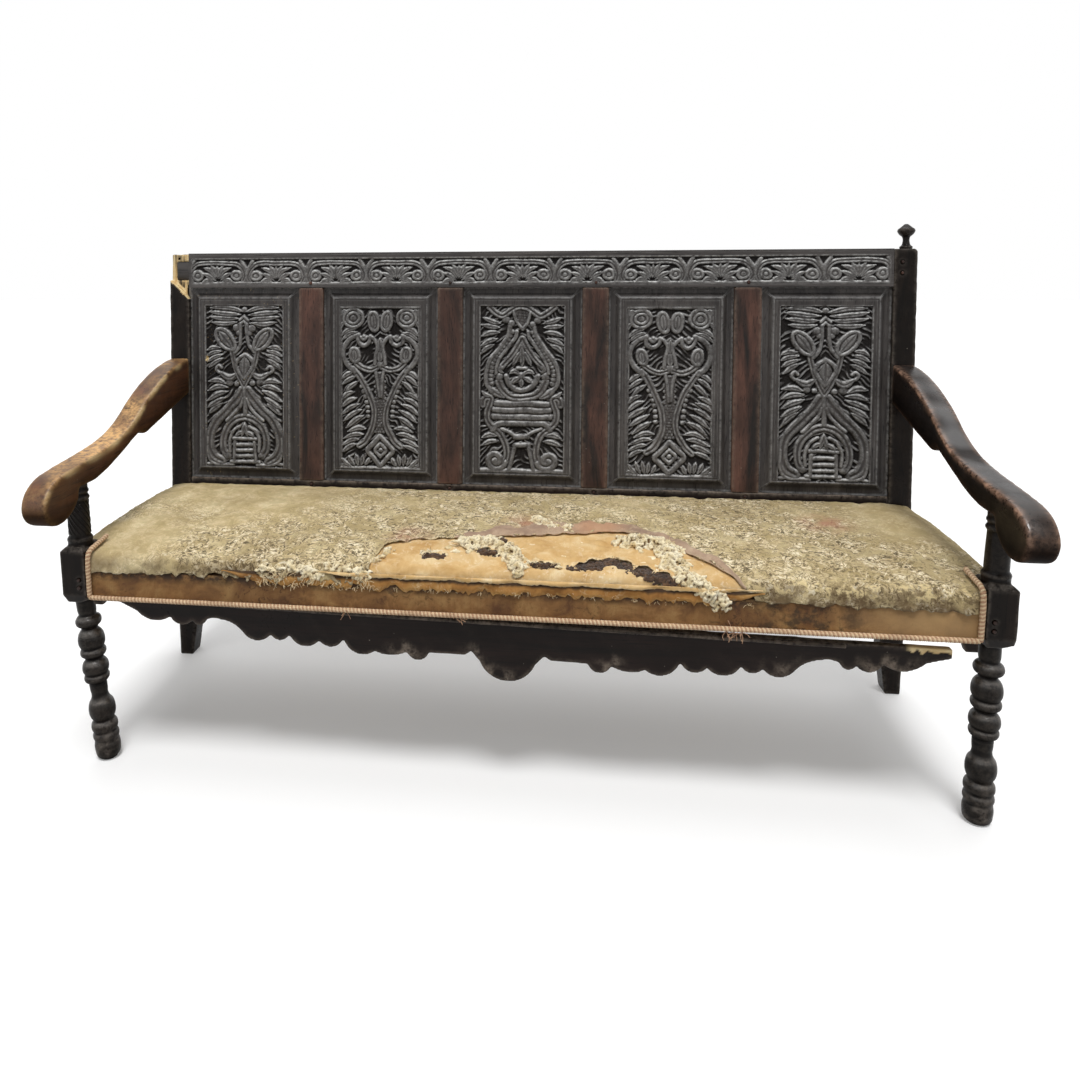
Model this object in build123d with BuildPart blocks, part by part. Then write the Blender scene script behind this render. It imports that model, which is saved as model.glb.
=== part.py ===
from build123d import *
import os
from math import atan2, cos, radians, sin, sqrt, tan

os.makedirs("parts", exist_ok=True)

# Overall sizes, in millimetres: X to the viewer's right, Y to the back, Z up
overall_width = 1735.0
back_height = 1012.0
seat_depth = 458.6
rake = radians(5.5)

# Joints
joint_gap = 0.2
tenon_thickness = 12.0
peg_diameter = 8.0
peg_proud = 0.8
peg_gap = 0.2
peg_bite = 4.0

# Front posts: a block with a turned column above it and a turned leg below
block_width = 50.0
block_depth = 68.0
block_top = 450.0
block_bottom = 337.0
block_cap = 8.0
block_toe_width = 7.0
block_toe_height = 18.0
column_height = 120.0
column_neck_radius = 20.0
column_tenon_radius = 12.0
column_tenon_length = 24.0
leg_neck_radius = 18.0
leg_trim = 4.0
left_foot_shift = 30.0

# Turned work from the bottom up: height, lower radius, belly radius (0 is straight), upper radius
leg_turnings = [
    (12.0, 17.0, 23.0, 24.5),
    (26.0, 24.5, 25.0, 23.5),
    (18.0, 23.5, 25.0, 23.0),
    (24.0, 23.0, 25.0, 21.0),
    (5.0, 21.0, 0.0, 22.5),
    (34.0, 22.5, 25.0, 22.0),
    (22.0, 22.0, 17.5, 17.0),
    (20.0, 17.0, 0.0, 18.5),
    (17.0, 18.5, 24.0, 22.0),
    (30.0, 22.0, 25.0, 19.5),
    (6.0, 19.5, 0.0, 19.5),
    (18.0, 19.5, 24.5, 22.0),
    (40.0, 22.0, 25.0, 18.0),
    (6.0, 18.0, 0.0, 18.5),
    (22.0, 18.5, 24.5, 18.5),
]
column_turnings = [
    (5.0, 23.0, 0.0, 23.0),
    (10.0, 21.5, 24.0, 21.5),
    (5.0, 21.5, 19.8, 20.0),
    (68.0, 20.0, 0.0, 19.0),
    (10.0, 19.0, 22.5, 19.5),
    (4.0, 19.5, 0.0, 19.0),
    (8.0, 19.0, 22.0, 19.5),
]

# Arms: outline points are measured back from the posts' front face and up from the column's top
arm_width = 50.0
arm_nose_reach = 104.0
arm_round = 3.0
arm_seat_front = 8.0
arm_seat_back = 60.0
arm_tail_top = 187.0
arm_tail_bottom = 102.0
arm_tenon_height = 52.0
arm_tenon_length = 20.0
arm_top_points = [
    (430.0, 179.0),
    (350.0, 156.0),
    (275.0, 120.0),
    (205.0, 80.0),
    (95.0, 54.0),
    (-25.0, 42.0),
]
arm_nose_points = [(-82.0, 25.0), (-98.0, -32.0), (-68.0, -51.0), (-30.0, -46.0), (2.0, -22.0)]
arm_nose_height = -6.0
arm_under_points = [(120.0, 14.0), (180.0, 35.0)]
arm_notch_points = [(243.0, 58.0), (262.0, 49.0), (278.0, 51.0)]

# Back frame
post_width = 50.0
post_depth = 46.0
post_foot_width = 34.0
post_foot_height = 95.0
post_top_round = 9.0
frame_thickness = 32.0
top_rail_height = 83.0
bottom_rail_height = 50.0
bottom_rail_lift = 10.0
rail_tenon_length = 36.0
rail_tenon_shoulder = 12.0
top_tenon_shoulder = 20.0
tenon_setback = 14.0
muntin_width = 62.0
muntin_thickness = 29.0
muntin_chamfer = 2.5
muntin_tenon_width = 34.0
muntin_tenon_length = 20.0
groove_width = 7.0
groove_depth = 10.0
panel_count = 5
panel_tongue = 8.0
panel_edge_gap = 1.0
panel_bevel = 26.0
panel_field_setback = 3.0

# Carving of the panels: a sunk ground with raised strokes, whose tops stay a little under the field
carving_side_margin = 14.7
carving_low_margin = 2.6
carving_top_margin = 18.2
carving_depth = 5.2
carving_rise = 4.5

# Main strokes as points with a place, a height and a half width, for the right half of a ground of this
# half width and height, and stretched to the panel's own; a stroke from the middle line crosses it
carving_pattern_half = 98.0
carving_pattern_height = 394.0
palmette_strokes = [
    [(5.0, 188.0, 4.0), (21.0, 165.0, 9.5), (71.0, 112.0, 10.5), (87.0, 84.0, 10.0), (88.0, 50.0, 9.0),
     (77.0, 25.0, 9.0), (58.0, 13.0, 4.0)],
    [(0.0, 122.0, 7.0), (23.0, 115.0, 8.0), (44.0, 96.0, 8.0), (55.0, 68.0, 8.0), (54.0, 42.0, 8.0), (44.0, 26.0, 7.0)],
    [(0.0, 66.0, 4.5), (29.0, 66.0, 4.5)],
    [(0.0, 45.0, 9.5), (21.0, 45.0, 9.5)],
    [(0.0, 11.0, 4.4), (36.0, 11.0, 4.4)],
    [(0.0, 280.0, 1.5), (0.0, 249.0, 22.0), (0.0, 214.0, 1.5)],
    [(34.0, 285.0, 5.0), (29.0, 258.0, 5.5), (2.0, 196.0, 5.0)],
    [(0.0, 200.0, 5.0), (0.0, 124.0, 5.0)],
    [(27.0, 288.0, 3.0), (38.0, 300.0, 14.0), (48.0, 311.0, 18.0), (58.0, 322.0, 14.0), (69.0, 334.0, 3.0)],
    [(7.0, 352.0, 4.0), (9.0, 318.0, 4.0), (17.0, 292.0, 4.0)],
    [(6.0, 380.0, 1.0), (45.0, 385.0, 7.0), (88.0, 387.0, 1.0)],
    [(14.0, 361.0, 1.0), (48.0, 363.0, 7.0), (90.0, 367.0, 1.0)],
    [(60.0, 290.0, 1.0), (80.0, 287.0, 6.0), (95.0, 278.0, 1.0)],
    [(56.0, 270.0, 1.0), (76.0, 262.0, 6.0), (94.0, 248.0, 1.0)],
    [(22.0, 230.0, 2.0), (42.0, 220.0, 7.0), (68.0, 234.0, 2.0)],
    [(48.0, 204.0, 1.0), (70.0, 206.0, 6.0), (93.0, 204.0, 1.0)],
    [(45.0, 188.0, 1.0), (70.0, 183.0, 7.0), (94.0, 172.0, 1.0)],
    [(54.0, 166.0, 1.0), (74.0, 153.0, 6.5), (94.0, 137.0, 1.0)],
]
branching_strokes = [
    [(43.0, 364.0, 10.0), (66.0, 364.0, 24.0), (89.0, 364.0, 10.0)],
    [(15.0, 334.0, 3.0), (16.0, 356.0, 14.0), (18.0, 378.0, 3.0)],
    [(58.0, 339.0, 1.0), (78.0, 332.0, 7.5), (94.0, 317.0, 1.0)],
    [(24.0, 322.0, 4.0), (29.0, 305.0, 4.5), (40.0, 298.0, 4.5), (51.0, 305.0, 4.0)],
    [(16.0, 314.0, 4.0), (8.0, 298.0, 4.5), (13.0, 252.0, 4.5)],
    [(59.0, 323.0, 3.5), (75.0, 313.0, 5.5), (89.0, 293.0, 5.5), (90.0, 272.0, 5.5), (64.0, 238.0, 6.0),
     (28.0, 182.0, 6.5), (16.0, 146.0, 6.5), (17.0, 106.0, 6.5), (34.0, 70.0, 6.5), (50.0, 56.0, 4.0)],
    [(61.0, 262.0, 3.0), (62.0, 276.0, 14.0), (64.0, 296.0, 2.0)],
    [(0.0, 245.0, 6.0), (24.0, 240.0, 6.5), (44.0, 245.0, 6.5), (55.0, 254.0, 4.0)],
    [(50.0, 200.0, 3.5), (37.0, 150.0, 4.0), (36.0, 124.0, 3.5)],
    [(74.0, 232.0, 1.0), (82.0, 226.0, 5.5), (94.0, 214.0, 1.0)],
    [(62.0, 217.0, 1.0), (75.0, 208.0, 6.0), (90.0, 194.0, 1.0)],
    [(64.0, 186.0, 1.0), (80.0, 180.0, 6.0), (95.0, 166.0, 1.0)],
    [(56.0, 168.0, 1.0), (76.0, 157.0, 6.5), (94.0, 142.0, 1.0)],
    [(50.0, 146.0, 1.0), (68.0, 134.0, 6.5), (90.0, 116.0, 1.0)],
    [(36.0, 98.0, 1.0), (58.0, 98.0, 6.0), (82.0, 89.0, 1.0)],
    [(48.0, 82.0, 1.0), (66.0, 79.0, 6.0), (92.0, 68.0, 1.0)],
    [(0.0, 83.0, 1.5), (0.0, 47.0, 33.0), (0.0, 9.0, 1.5)],
    [(47.0, 9.0, 2.0), (45.0, 22.0, 5.0), (43.0, 34.0, 1.0)],
    [(62.0, 9.0, 2.0), (67.0, 22.0, 5.5), (72.0, 34.0, 1.0)],
]
urn_strokes = [
    [(0.0, 388.0, 5.0), (14.0, 387.0, 6.0), (44.0, 371.0, 7.0), (60.0, 377.0, 7.0), (76.0, 387.0, 4.0)],
    [(20.0, 342.0, 7.0), (25.0, 320.0, 12.0), (43.0, 296.0, 13.5), (63.0, 268.0, 15.0), (73.0, 240.0, 15.5),
     (72.0, 214.0, 12.0), (66.0, 194.0, 4.0)],
    [(0.0, 318.0, 7.0), (12.0, 296.0, 7.0), (28.0, 272.0, 7.0), (44.0, 254.0, 6.0)],
    [(0.0, 244.0, 3.0), (0.0, 230.0, 21.0), (0.0, 206.0, 3.0)],
    [(0.0, 195.0, 6.0), (16.0, 199.0, 6.0), (30.0, 211.0, 6.0), (37.0, 228.0, 5.0)],
    [(0.0, 178.0, 7.5), (26.0, 182.0, 7.5), (44.0, 195.0, 7.5), (54.0, 216.0, 6.0)],
    [(0.0, 146.5, 20.5), (64.0, 146.5, 20.5)],
    [(0.0, 116.0, 6.5), (44.0, 116.0, 6.5), (62.0, 108.0, 6.0)],
    [(75.0, 176.0, 5.0), (82.0, 142.0, 7.0), (80.0, 122.0, 7.0), (48.0, 90.0, 7.0), (37.0, 70.0, 7.0), (36.0, 40.0, 6.0)],
    [(36.0, 30.0, 10.0), (46.0, 30.0, 23.0), (61.0, 30.0, 28.0), (76.0, 30.0, 23.0), (87.0, 30.0, 10.0)],
    [(50.0, 353.0, 1.0), (70.0, 357.0, 6.0), (92.0, 365.0, 1.0)],
    [(52.0, 337.0, 1.0), (74.0, 338.0, 7.0), (96.0, 336.0, 1.0)],
    [(60.0, 315.0, 1.0), (79.0, 309.0, 6.5), (96.0, 296.0, 1.0)],
    [(58.0, 88.0, 1.0), (74.0, 90.0, 6.0), (92.0, 84.0, 1.0)],
    [(56.0, 73.0, 1.0), (73.0, 72.0, 6.0), (93.0, 65.0, 1.0)],
    [(0.0, 87.0, 6.0), (15.0, 87.0, 6.0)],
    [(14.0, 61.0, 4.0), (18.0, 40.0, 4.0), (24.0, 16.0, 4.0)],
    [(0.0, 5.0, 6.0), (97.0, 5.0, 6.0)],
]
panel_carvings = [palmette_strokes, branching_strokes, urn_strokes, branching_strokes, palmette_strokes]

# Break at the top of the left back post: drops below the top at its outer edge, middle and inner edge
break_outer_drop = 62.0
break_middle_drop = 84.0
break_inner_drop = 110.0

# Finial on the right back post
finial_dowel_radius = 6.0
finial_dowel_length = 16.0
finial_setback = 21.0
finial_offset = 6.0
finial_turnings = [
    (6.0, 13.0, 0.0, 14.0),
    (8.0, 14.0, 9.0, 8.0),
    (14.0, 8.0, 7.0, 8.5),
    (12.0, 8.5, 15.5, 18.5),
    (7.0, 18.5, 17.5, 13.5),
    (9.0, 13.5, 0.0, 3.5),
]

# Seat frame
seat_rail_top = 405.0
seat_rail_height = 53.0
seat_rail_thickness = 32.0
front_rail_setback = 10.0
side_rail_inset = 6.0
rear_rail_setback = 4.0
seat_tenon_shoulder = 5.0
front_tenon_length = 26.0
side_tenon_length = 20.0
rear_tenon_length = 28.0
bearer_width = 44.0
bearer_height = 40.0
bearer_drop = 6.0
bearer_tenon_length = 14.0

# Apron under the front rail, hanging loose at its right end
apron_thickness = 16.0
apron_setback = 18.0
apron_droop = radians(0.95)
apron_left_gap = 24.0
apron_right_gap = 15.0
apron_tip_short = 26.0
apron_end_depth = 18.0
strip_height = 9.0
strip_thickness = 7.0
strip_left_gap = 8.0
strip_right_gap = 177.0
nail_diameter = 3.0
nail_gap = 0.1
nail_rail_depth = 22.0
nail_apron_depth = 20.0
nail_places = [66.0, 190.0, 370.0]

# Apron outline from the middle outwards, as place and depth, drawn for this half length and stretched
# to the space between the posts; each scallop has its start and its tip
apron_pattern_half = 798.0
apron_lobe_depth = 120.0
apron_shoulder = [(52.0, 84.0), (68.0, 66.0), (80.0, 74.0), (148.0, 74.0)]
apron_scallops = [
    (148.0, 74.0, 169.0, 91.0),
    (190.0, 76.0, 222.0, 85.0),
    (252.0, 79.0, 289.0, 85.5),
    (313.0, 57.0, 334.0, 76.5),
    (361.0, 66.0, 393.0, 79.0),
    (420.0, 57.0, 437.5, 70.5),
    (457.0, 60.0, 486.0, 74.5),
    (514.0, 58.0, 534.0, 43.0),
    (556.0, 36.5, 573.0, 35.0),
    (588.0, 40.0, 601.0, 51.0),
    (615.0, 42.0, 639.0, 53.0),
    (660.0, 37.0, 696.5, 47.5),
]
apron_last_notch = (730.0, 30.0)
apron_heel = [(36.0, 15.0), (14.0, 8.0), (3.0, 10.0), (0.0, 23.0), (-21.0, 22.0), (-21.0, 0.5), (0.0, 0.0)]

# Stub of the apron's broken right end, as place from the right post and depth
stub_outline = [(1.0, 0.1), (33.0, 0.1), (28.0, 12.0), (21.0, 30.0), (1.0, 29.0)]

# Upholstery
web_width = 52.0
web_thickness = 1.8
web_fold = 26.0
web_edge = 2.0
cross_web_count = 13
long_web_count = 3
hessian_thickness = 1.5
hessian_edge = 4.0
pad_front_rise = 27.0
pad_crown_rise = 41.0
pad_rear_rise = 37.0
pad_end_drop = 6.0
pad_end_length = 46.0
pad_roll = 20.0
pad_rear_gap = 2.0
layer_gap = 0.2
skin_thickness = 1.8
post_clearance = 1.0
cover_flap = 13.0
border_drop = 6.0
side_border_drop = 30.0
cord_radius = 5.5
cord_gap = 0.4
cord_corner = 10.0
cord_tail = 44.0
cord_rise = 7.0

# Tear in the cover, open to the front: its ends, and its inner edge as place and depth from the front
tear_left = -240.0
tear_right = 440.0
tear_inner_edge = [
    (330.0, 96.0),
    (215.0, 150.0),
    (90.0, 172.0),
    (-40.0, 150.0),
    (-135.0, 118.0),
    (-205.0, 84.0),
]

# Places worked out from the sizes above
sides = [("left", -1), ("right", 1)]
half_width = overall_width/2
back_run = (back_height - seat_rail_top)/cos(rake)
back_reach = seat_depth + back_run*sin(rake) + post_depth*cos(rake)
front_y = (arm_nose_reach - back_reach)/2
back_y = front_y + seat_depth
back_top_y = back_y + back_run*sin(rake)
block_back_y = front_y + block_depth
post_axis_x = half_width - block_width/2
post_axis_y = front_y + block_depth/2
arm_seat_z = block_top + column_height
inner_x = half_width - block_width
back_post_x = half_width - post_width/2
back_inner_x = half_width - post_width
finial_x = back_post_x + finial_offset
seat_rail_bottom = seat_rail_top - seat_rail_height
seat_rail_middle = seat_rail_top - seat_rail_height/2
front_rail_y = front_y + front_rail_setback
rear_rail_y = back_y + rear_rail_setback
side_rail_x = half_width - side_rail_inset - seat_rail_thickness/2
side_outer_x = half_width - side_rail_inset
opening_width = (2*back_inner_x - (panel_count - 1)*muntin_width)/panel_count
opening_bottom = bottom_rail_lift + bottom_rail_height
opening_top = back_run - top_rail_height
opening_height = opening_top - opening_bottom
opening_middle = (opening_top + opening_bottom)/2
panel_pitch = opening_width + muntin_width
muntin_places = [(n - (panel_count - 2)/2)*panel_pitch for n in range(panel_count - 1)]
panel_places = [(n - (panel_count - 1)/2)*panel_pitch for n in range(panel_count)]
carving_half = opening_width/2 - panel_bevel - carving_side_margin
carving_bottom = opening_bottom + panel_bevel + carving_low_margin
carving_height = opening_top - panel_bevel - carving_top_margin - carving_bottom

# The back leans: its plane has X across, Y up along the lean and Z out of the front face
lean_normal = (0, -cos(rake), sin(rake))
lean_up = (0, sin(rake), cos(rake))
back_plane = Plane(origin=(0, back_y, seat_rail_top), x_dir=(1, 0, 0), z_dir=lean_normal)
tenon_plane = back_plane.offset(-tenon_setback)
top_plane = Plane(origin=back_plane.from_local_coords((0, back_run, 0)), x_dir=(1, 0, 0), z_dir=lean_up)

# Tenons of the back rails: middle height and depth of each, bottom rail first
bottom_tenon = (bottom_rail_lift + bottom_rail_height/2, bottom_rail_height - 2*rail_tenon_shoulder)
top_tenon = (back_run - top_rail_height/2, top_rail_height - 2*top_tenon_shoulder)

# Tenons of the seat rails
front_tenon_height = seat_rail_height - 2*seat_tenon_shoulder
front_tenon_y = front_rail_y + seat_rail_thickness/2
half_tenon_height = seat_rail_height/2 - 1.5*seat_tenon_shoulder
low_tenon_z = seat_rail_bottom + seat_tenon_shoulder + half_tenon_height/2
high_tenon_z = seat_rail_top - seat_tenon_shoulder - half_tenon_height/2
rear_tenon_y = rear_rail_y + seat_rail_thickness/2
bearer_z = seat_rail_top - bearer_drop - bearer_height/2

# Arm tenon in the back post, at the middle of the arm's tail
arm_tail_middle = arm_seat_z + (arm_tail_top + arm_tail_bottom)/2
arm_tenon_v = (arm_tail_middle - seat_rail_top)/cos(rake)

# Pegs of the back frame, as places in the back plane
peg_hole_radius = (peg_diameter + peg_gap)/2
back_peg_length = tenon_setback + tenon_thickness + peg_bite
rail_peg_x = back_inner_x + rail_tenon_length/2
top_peg_spread = peg_diameter*1.5
bottom_peg_v = bottom_tenon[0]
top_peg_vs = [top_tenon[0] - top_peg_spread, top_tenon[0] + top_peg_spread]
left_post_pegs = [(-rail_peg_x, bottom_peg_v)]
right_post_pegs = [(rail_peg_x, v) for v in [bottom_peg_v] + top_peg_vs]
muntin_peg_vs = [opening_bottom - muntin_tenon_length/2, opening_top + muntin_tenon_length/2]

# Pegs of the front rail, as places in the posts' front face, and of the side rails, in the outer faces
front_peg_length = front_rail_setback + (seat_rail_thickness + tenon_thickness)/2 + peg_bite
front_peg_x = inner_x + front_tenon_length/2
front_peg_zs = [seat_rail_middle - peg_diameter, seat_rail_middle + peg_diameter]
side_peg_length = half_width - side_rail_x + tenon_thickness/2 + peg_bite
side_pegs = [(block_back_y - side_tenon_length/2, low_tenon_z), (back_y + side_tenon_length/2, low_tenon_z)]
arm_peg_point = back_plane.from_local_coords((0, arm_tenon_v, -arm_tenon_length/2))
arm_peg = (arm_peg_point.Y, arm_peg_point.Z)
arm_peg_length = half_width - post_axis_x + tenon_thickness/2 + peg_bite


def back_face_y(z):
    """Depth of the back's leaning front face at a height."""
    return back_y + (z - seat_rail_top)*tan(rake)


def draw_turnings(base, turnings):
    """Draw stacked turned lengths upwards from a base and return the top."""
    z = base
    last = turnings[0][1]
    for height, low, belly, high in turnings:
        if last != low:
            Line((last, z), (low, z))
        if belly:
            ThreePointArc((low, z), (belly, z + height/2), (high, z + height))
        else:
            Line((low, z), (high, z + height))
        z += height
        last = high
    return z


def whole_strokes(points):
    """A carved stroke with its other half, or with its partner on the other side of the middle line."""
    spread = carving_half/carving_pattern_half
    rise = carving_height/carving_pattern_height
    right = [(u*spread, v*rise, half) for u, v, half in points]
    left = [(-u, v, half) for u, v, half in right]
    if points[0][0] > 0:
        return [right, left]
    if points[-1][0] > 0:
        return [left[:0:-1] + right]
    return [right]


def stroke_outline(points):
    """Corners round a stroke, from its points and half widths."""
    one_side, other_side = [], []
    for n, (u, v, half) in enumerate(points):
        u_before, v_before, _ = points[max(n - 1, 0)]
        u_after, v_after, _ = points[min(n + 1, len(points) - 1)]
        run = sqrt((u_after - u_before)**2 + (v_after - v_before)**2)
        aside_u = (v_before - v_after)*half/run
        aside_v = (u_after - u_before)*half/run
        one_side.append((u + aside_u, v + aside_v))
        other_side.append((u - aside_u, v - aside_v))
    return one_side + other_side[::-1]


# Back posts, each in one piece from the floor to the top
for name, side in sides:
    with BuildPart() as back_post:
        with BuildSketch(Plane.YZ.offset(side*back_post_x - post_width/2)):
            with BuildLine():
                Polyline(
                    (back_y, 0),
                    (back_y, seat_rail_top),
                    (back_top_y, back_height),
                    (back_top_y + post_depth*cos(rake), back_height - post_depth*sin(rake)),
                    (back_y + post_depth, seat_rail_top - post_depth*tan(rake/2)),
                    (back_y + post_depth, 0),
                    close=True,
                )
            make_face()
        extrude(amount=post_width)
        # Foot cut away on its inner side
        with BuildSketch(Plane.XZ.offset(-back_y)):
            with BuildLine():
                Polyline(
                    (side*(half_width - post_foot_width), 0),
                    (side*back_inner_x, 0),
                    (side*back_inner_x, post_foot_height),
                    close=True,
                )
            make_face()
        extrude(amount=-post_depth, mode=Mode.SUBTRACT)
        # Mortises for the two back rails, and the groove for the end panel
        with BuildSketch(tenon_plane.offset(joint_gap)):
            for middle, height in (bottom_tenon, top_tenon):
                with Locations((side*(back_inner_x + rail_tenon_length/2), middle)):
                    Rectangle(rail_tenon_length + 2*joint_gap, height + 2*joint_gap)
        extrude(amount=-tenon_thickness - 2*joint_gap, mode=Mode.SUBTRACT)
        with BuildSketch(tenon_plane):
            with Locations((side*back_inner_x, opening_middle)):
                Rectangle(2*groove_depth, opening_height + 2*groove_depth)
        extrude(amount=-groove_width, mode=Mode.SUBTRACT)
        # Mortises for the arm, the side rail and the rear seat rail
        with BuildSketch(back_plane):
            with Locations((side*post_axis_x, arm_tenon_v)):
                Rectangle(tenon_thickness + 2*joint_gap, arm_tenon_height + 2*joint_gap)
        extrude(amount=-arm_tenon_length - joint_gap, mode=Mode.SUBTRACT)
        with BuildSketch(Plane.XZ.offset(-back_y)):
            with Locations((side*side_rail_x, low_tenon_z)):
                Rectangle(tenon_thickness + 2*joint_gap, half_tenon_height + 2*joint_gap)
        extrude(amount=-side_tenon_length - joint_gap, mode=Mode.SUBTRACT)
        with BuildSketch(Plane.YZ.offset(side*back_inner_x)):
            with Locations((rear_tenon_y, high_tenon_z)):
                Rectangle(tenon_thickness + 2*joint_gap, half_tenon_height + 2*joint_gap)
        extrude(amount=side*(rear_tenon_length + joint_gap), mode=Mode.SUBTRACT)
        # Hole for a finial's dowel, empty on the left post
        with BuildSketch(top_plane):
            with Locations((side*finial_x, finial_setback)):
                Circle(finial_dowel_radius + joint_gap)
        extrude(amount=-finial_dowel_length - joint_gap, mode=Mode.SUBTRACT)
        # Peg holes
        with BuildSketch(back_plane):
            with Locations(*(left_post_pegs if side < 0 else right_post_pegs)):
                Circle(peg_hole_radius)
        extrude(amount=-back_peg_length - peg_gap, mode=Mode.SUBTRACT)
        with BuildSketch(Plane.YZ.offset(side*half_width)):
            with Locations(arm_peg):
                Circle(peg_hole_radius)
        extrude(amount=-side*(arm_peg_length + peg_gap), mode=Mode.SUBTRACT)
        with BuildSketch(Plane.YZ.offset(side*half_width)):
            with Locations(side_pegs[1]):
                Circle(peg_hole_radius)
        extrude(amount=-side*(side_peg_length + peg_gap), mode=Mode.SUBTRACT)
        if side < 0:
            # The front cheek has split off and shows the rail's tenon
            with BuildSketch(back_plane):
                with BuildLine():
                    Spline(
                        (-half_width, back_run - break_outer_drop),
                        (-back_post_x, back_run - break_middle_drop),
                        (-back_inner_x, back_run - break_inner_drop),
                    )
                    Polyline(
                        (-back_inner_x, back_run - break_inner_drop),
                        (-back_inner_x, back_run),
                        (-half_width, back_run),
                        (-half_width, back_run - break_outer_drop),
                    )
                make_face()
            extrude(amount=-tenon_setback, mode=Mode.SUBTRACT)
        else:
            corners = back_post.edges().filter_by(Axis((0, 0, 0), lean_normal)).sort_by(Axis.Z)[-2:]
            fillet(corners.sort_by(Axis.X)[-1], post_top_round)
    back_post.part.label = f"back_post_{name}"
    export_step(back_post.part, f"parts/back_post_{name}.step")

# Finial on the right back post
finial_base = top_plane.from_local_coords((finial_x, finial_setback, 0))
with BuildPart() as finial:
    with BuildSketch(Plane(origin=finial_base, x_dir=(1, 0, 0), z_dir=lean_normal)):
        with BuildLine():
            finial_top = draw_turnings(0, finial_turnings)
            Polyline(
                (finial_turnings[-1][3], finial_top),
                (0, finial_top),
                (0, -finial_dowel_length),
                (finial_dowel_radius, -finial_dowel_length),
                (finial_dowel_radius, 0),
                (finial_turnings[0][1], 0),
            )
        make_face()
    revolve(axis=Axis(finial_base, lean_up))
finial.part.label = "finial_right"
export_step(finial.part, "parts/finial_right.step")

# Top rail, which carries the frieze
with BuildPart() as top_rail:
    with BuildSketch(back_plane):
        with Locations((0, back_run - top_rail_height/2)):
            Rectangle(2*back_inner_x, top_rail_height)
    extrude(amount=-frame_thickness)
    with BuildSketch(tenon_plane):
        with Locations((0, top_tenon[0])):
            Rectangle(2*(back_inner_x + rail_tenon_length), top_tenon[1])
    extrude(amount=-tenon_thickness)
    with BuildSketch(tenon_plane):
        with Locations((0, opening_top)):
            Rectangle(2*back_inner_x, 2*groove_depth)
    extrude(amount=-groove_width, mode=Mode.SUBTRACT)
    with BuildSketch(tenon_plane.offset(joint_gap)):
        with Locations(*[(x, opening_top) for x in muntin_places]):
            Rectangle(muntin_tenon_width + 2*joint_gap, 2*(muntin_tenon_length + joint_gap))
    extrude(amount=-tenon_thickness - 2*joint_gap, mode=Mode.SUBTRACT)
    with BuildSketch(back_plane):
        with Locations(*[(rail_peg_x, v) for v in top_peg_vs]):
            Circle(peg_hole_radius)
        with Locations(*[(x, muntin_peg_vs[1]) for x in muntin_places]):
            Circle(peg_hole_radius)
    extrude(amount=-back_peg_length - peg_gap, mode=Mode.SUBTRACT)
top_rail.part.label = "top_rail"
export_step(top_rail.part, "parts/top_rail.step")

# Bottom rail of the back, just above the seat
with BuildPart() as bottom_rail:
    with BuildSketch(back_plane):
        with Locations((0, bottom_tenon[0])):
            Rectangle(2*back_inner_x, bottom_rail_height)
    extrude(amount=-frame_thickness)
    with BuildSketch(tenon_plane):
        with Locations((0, bottom_tenon[0])):
            Rectangle(2*(back_inner_x + rail_tenon_length), bottom_tenon[1])
    extrude(amount=-tenon_thickness)
    with BuildSketch(tenon_plane):
        with Locations((0, opening_bottom)):
            Rectangle(2*back_inner_x, 2*groove_depth)
    extrude(amount=-groove_width, mode=Mode.SUBTRACT)
    with BuildSketch(tenon_plane.offset(joint_gap)):
        with Locations(*[(x, opening_bottom) for x in muntin_places]):
            Rectangle(muntin_tenon_width + 2*joint_gap, 2*(muntin_tenon_length + joint_gap))
    extrude(amount=-tenon_thickness - 2*joint_gap, mode=Mode.SUBTRACT)
    with BuildSketch(back_plane):
        with Locations((-rail_peg_x, bottom_peg_v), (rail_peg_x, bottom_peg_v)):
            Circle(peg_hole_radius)
        with Locations(*[(x, muntin_peg_vs[0]) for x in muntin_places]):
            Circle(peg_hole_radius)
    extrude(amount=-back_peg_length - peg_gap, mode=Mode.SUBTRACT)
bottom_rail.part.label = "back_bottom_rail"
export_step(bottom_rail.part, "parts/back_bottom_rail.step")

# Muntins between the panels
for number, x in enumerate(muntin_places, 1):
    with BuildPart() as muntin:
        with BuildSketch(back_plane):
            with Locations((x, opening_middle)):
                Rectangle(muntin_width, opening_height)
        extrude(amount=-muntin_thickness)
        face_edges = muntin.faces().sort_by(Axis((0, 0, 0), lean_normal))[-1].edges()
        chamfer(face_edges.filter_by(Axis((0, 0, 0), lean_up)), muntin_chamfer)
        with BuildSketch(tenon_plane):
            with Locations((x, opening_middle)):
                Rectangle(muntin_tenon_width, opening_height + 2*muntin_tenon_length)
        extrude(amount=-tenon_thickness)
        with BuildSketch(tenon_plane):
            with Locations((x - muntin_width/2, opening_middle), (x + muntin_width/2, opening_middle)):
                Rectangle(2*groove_depth, opening_height)
        extrude(amount=-groove_width, mode=Mode.SUBTRACT)
        with BuildSketch(back_plane):
            with Locations(*[(x, v) for v in muntin_peg_vs]):
                Circle(peg_hole_radius)
        extrude(amount=-back_peg_length - peg_gap, mode=Mode.SUBTRACT)
    muntin.part.label = f"muntin_{number}"
    export_step(muntin.part, f"parts/muntin_{number}.step")

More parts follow.
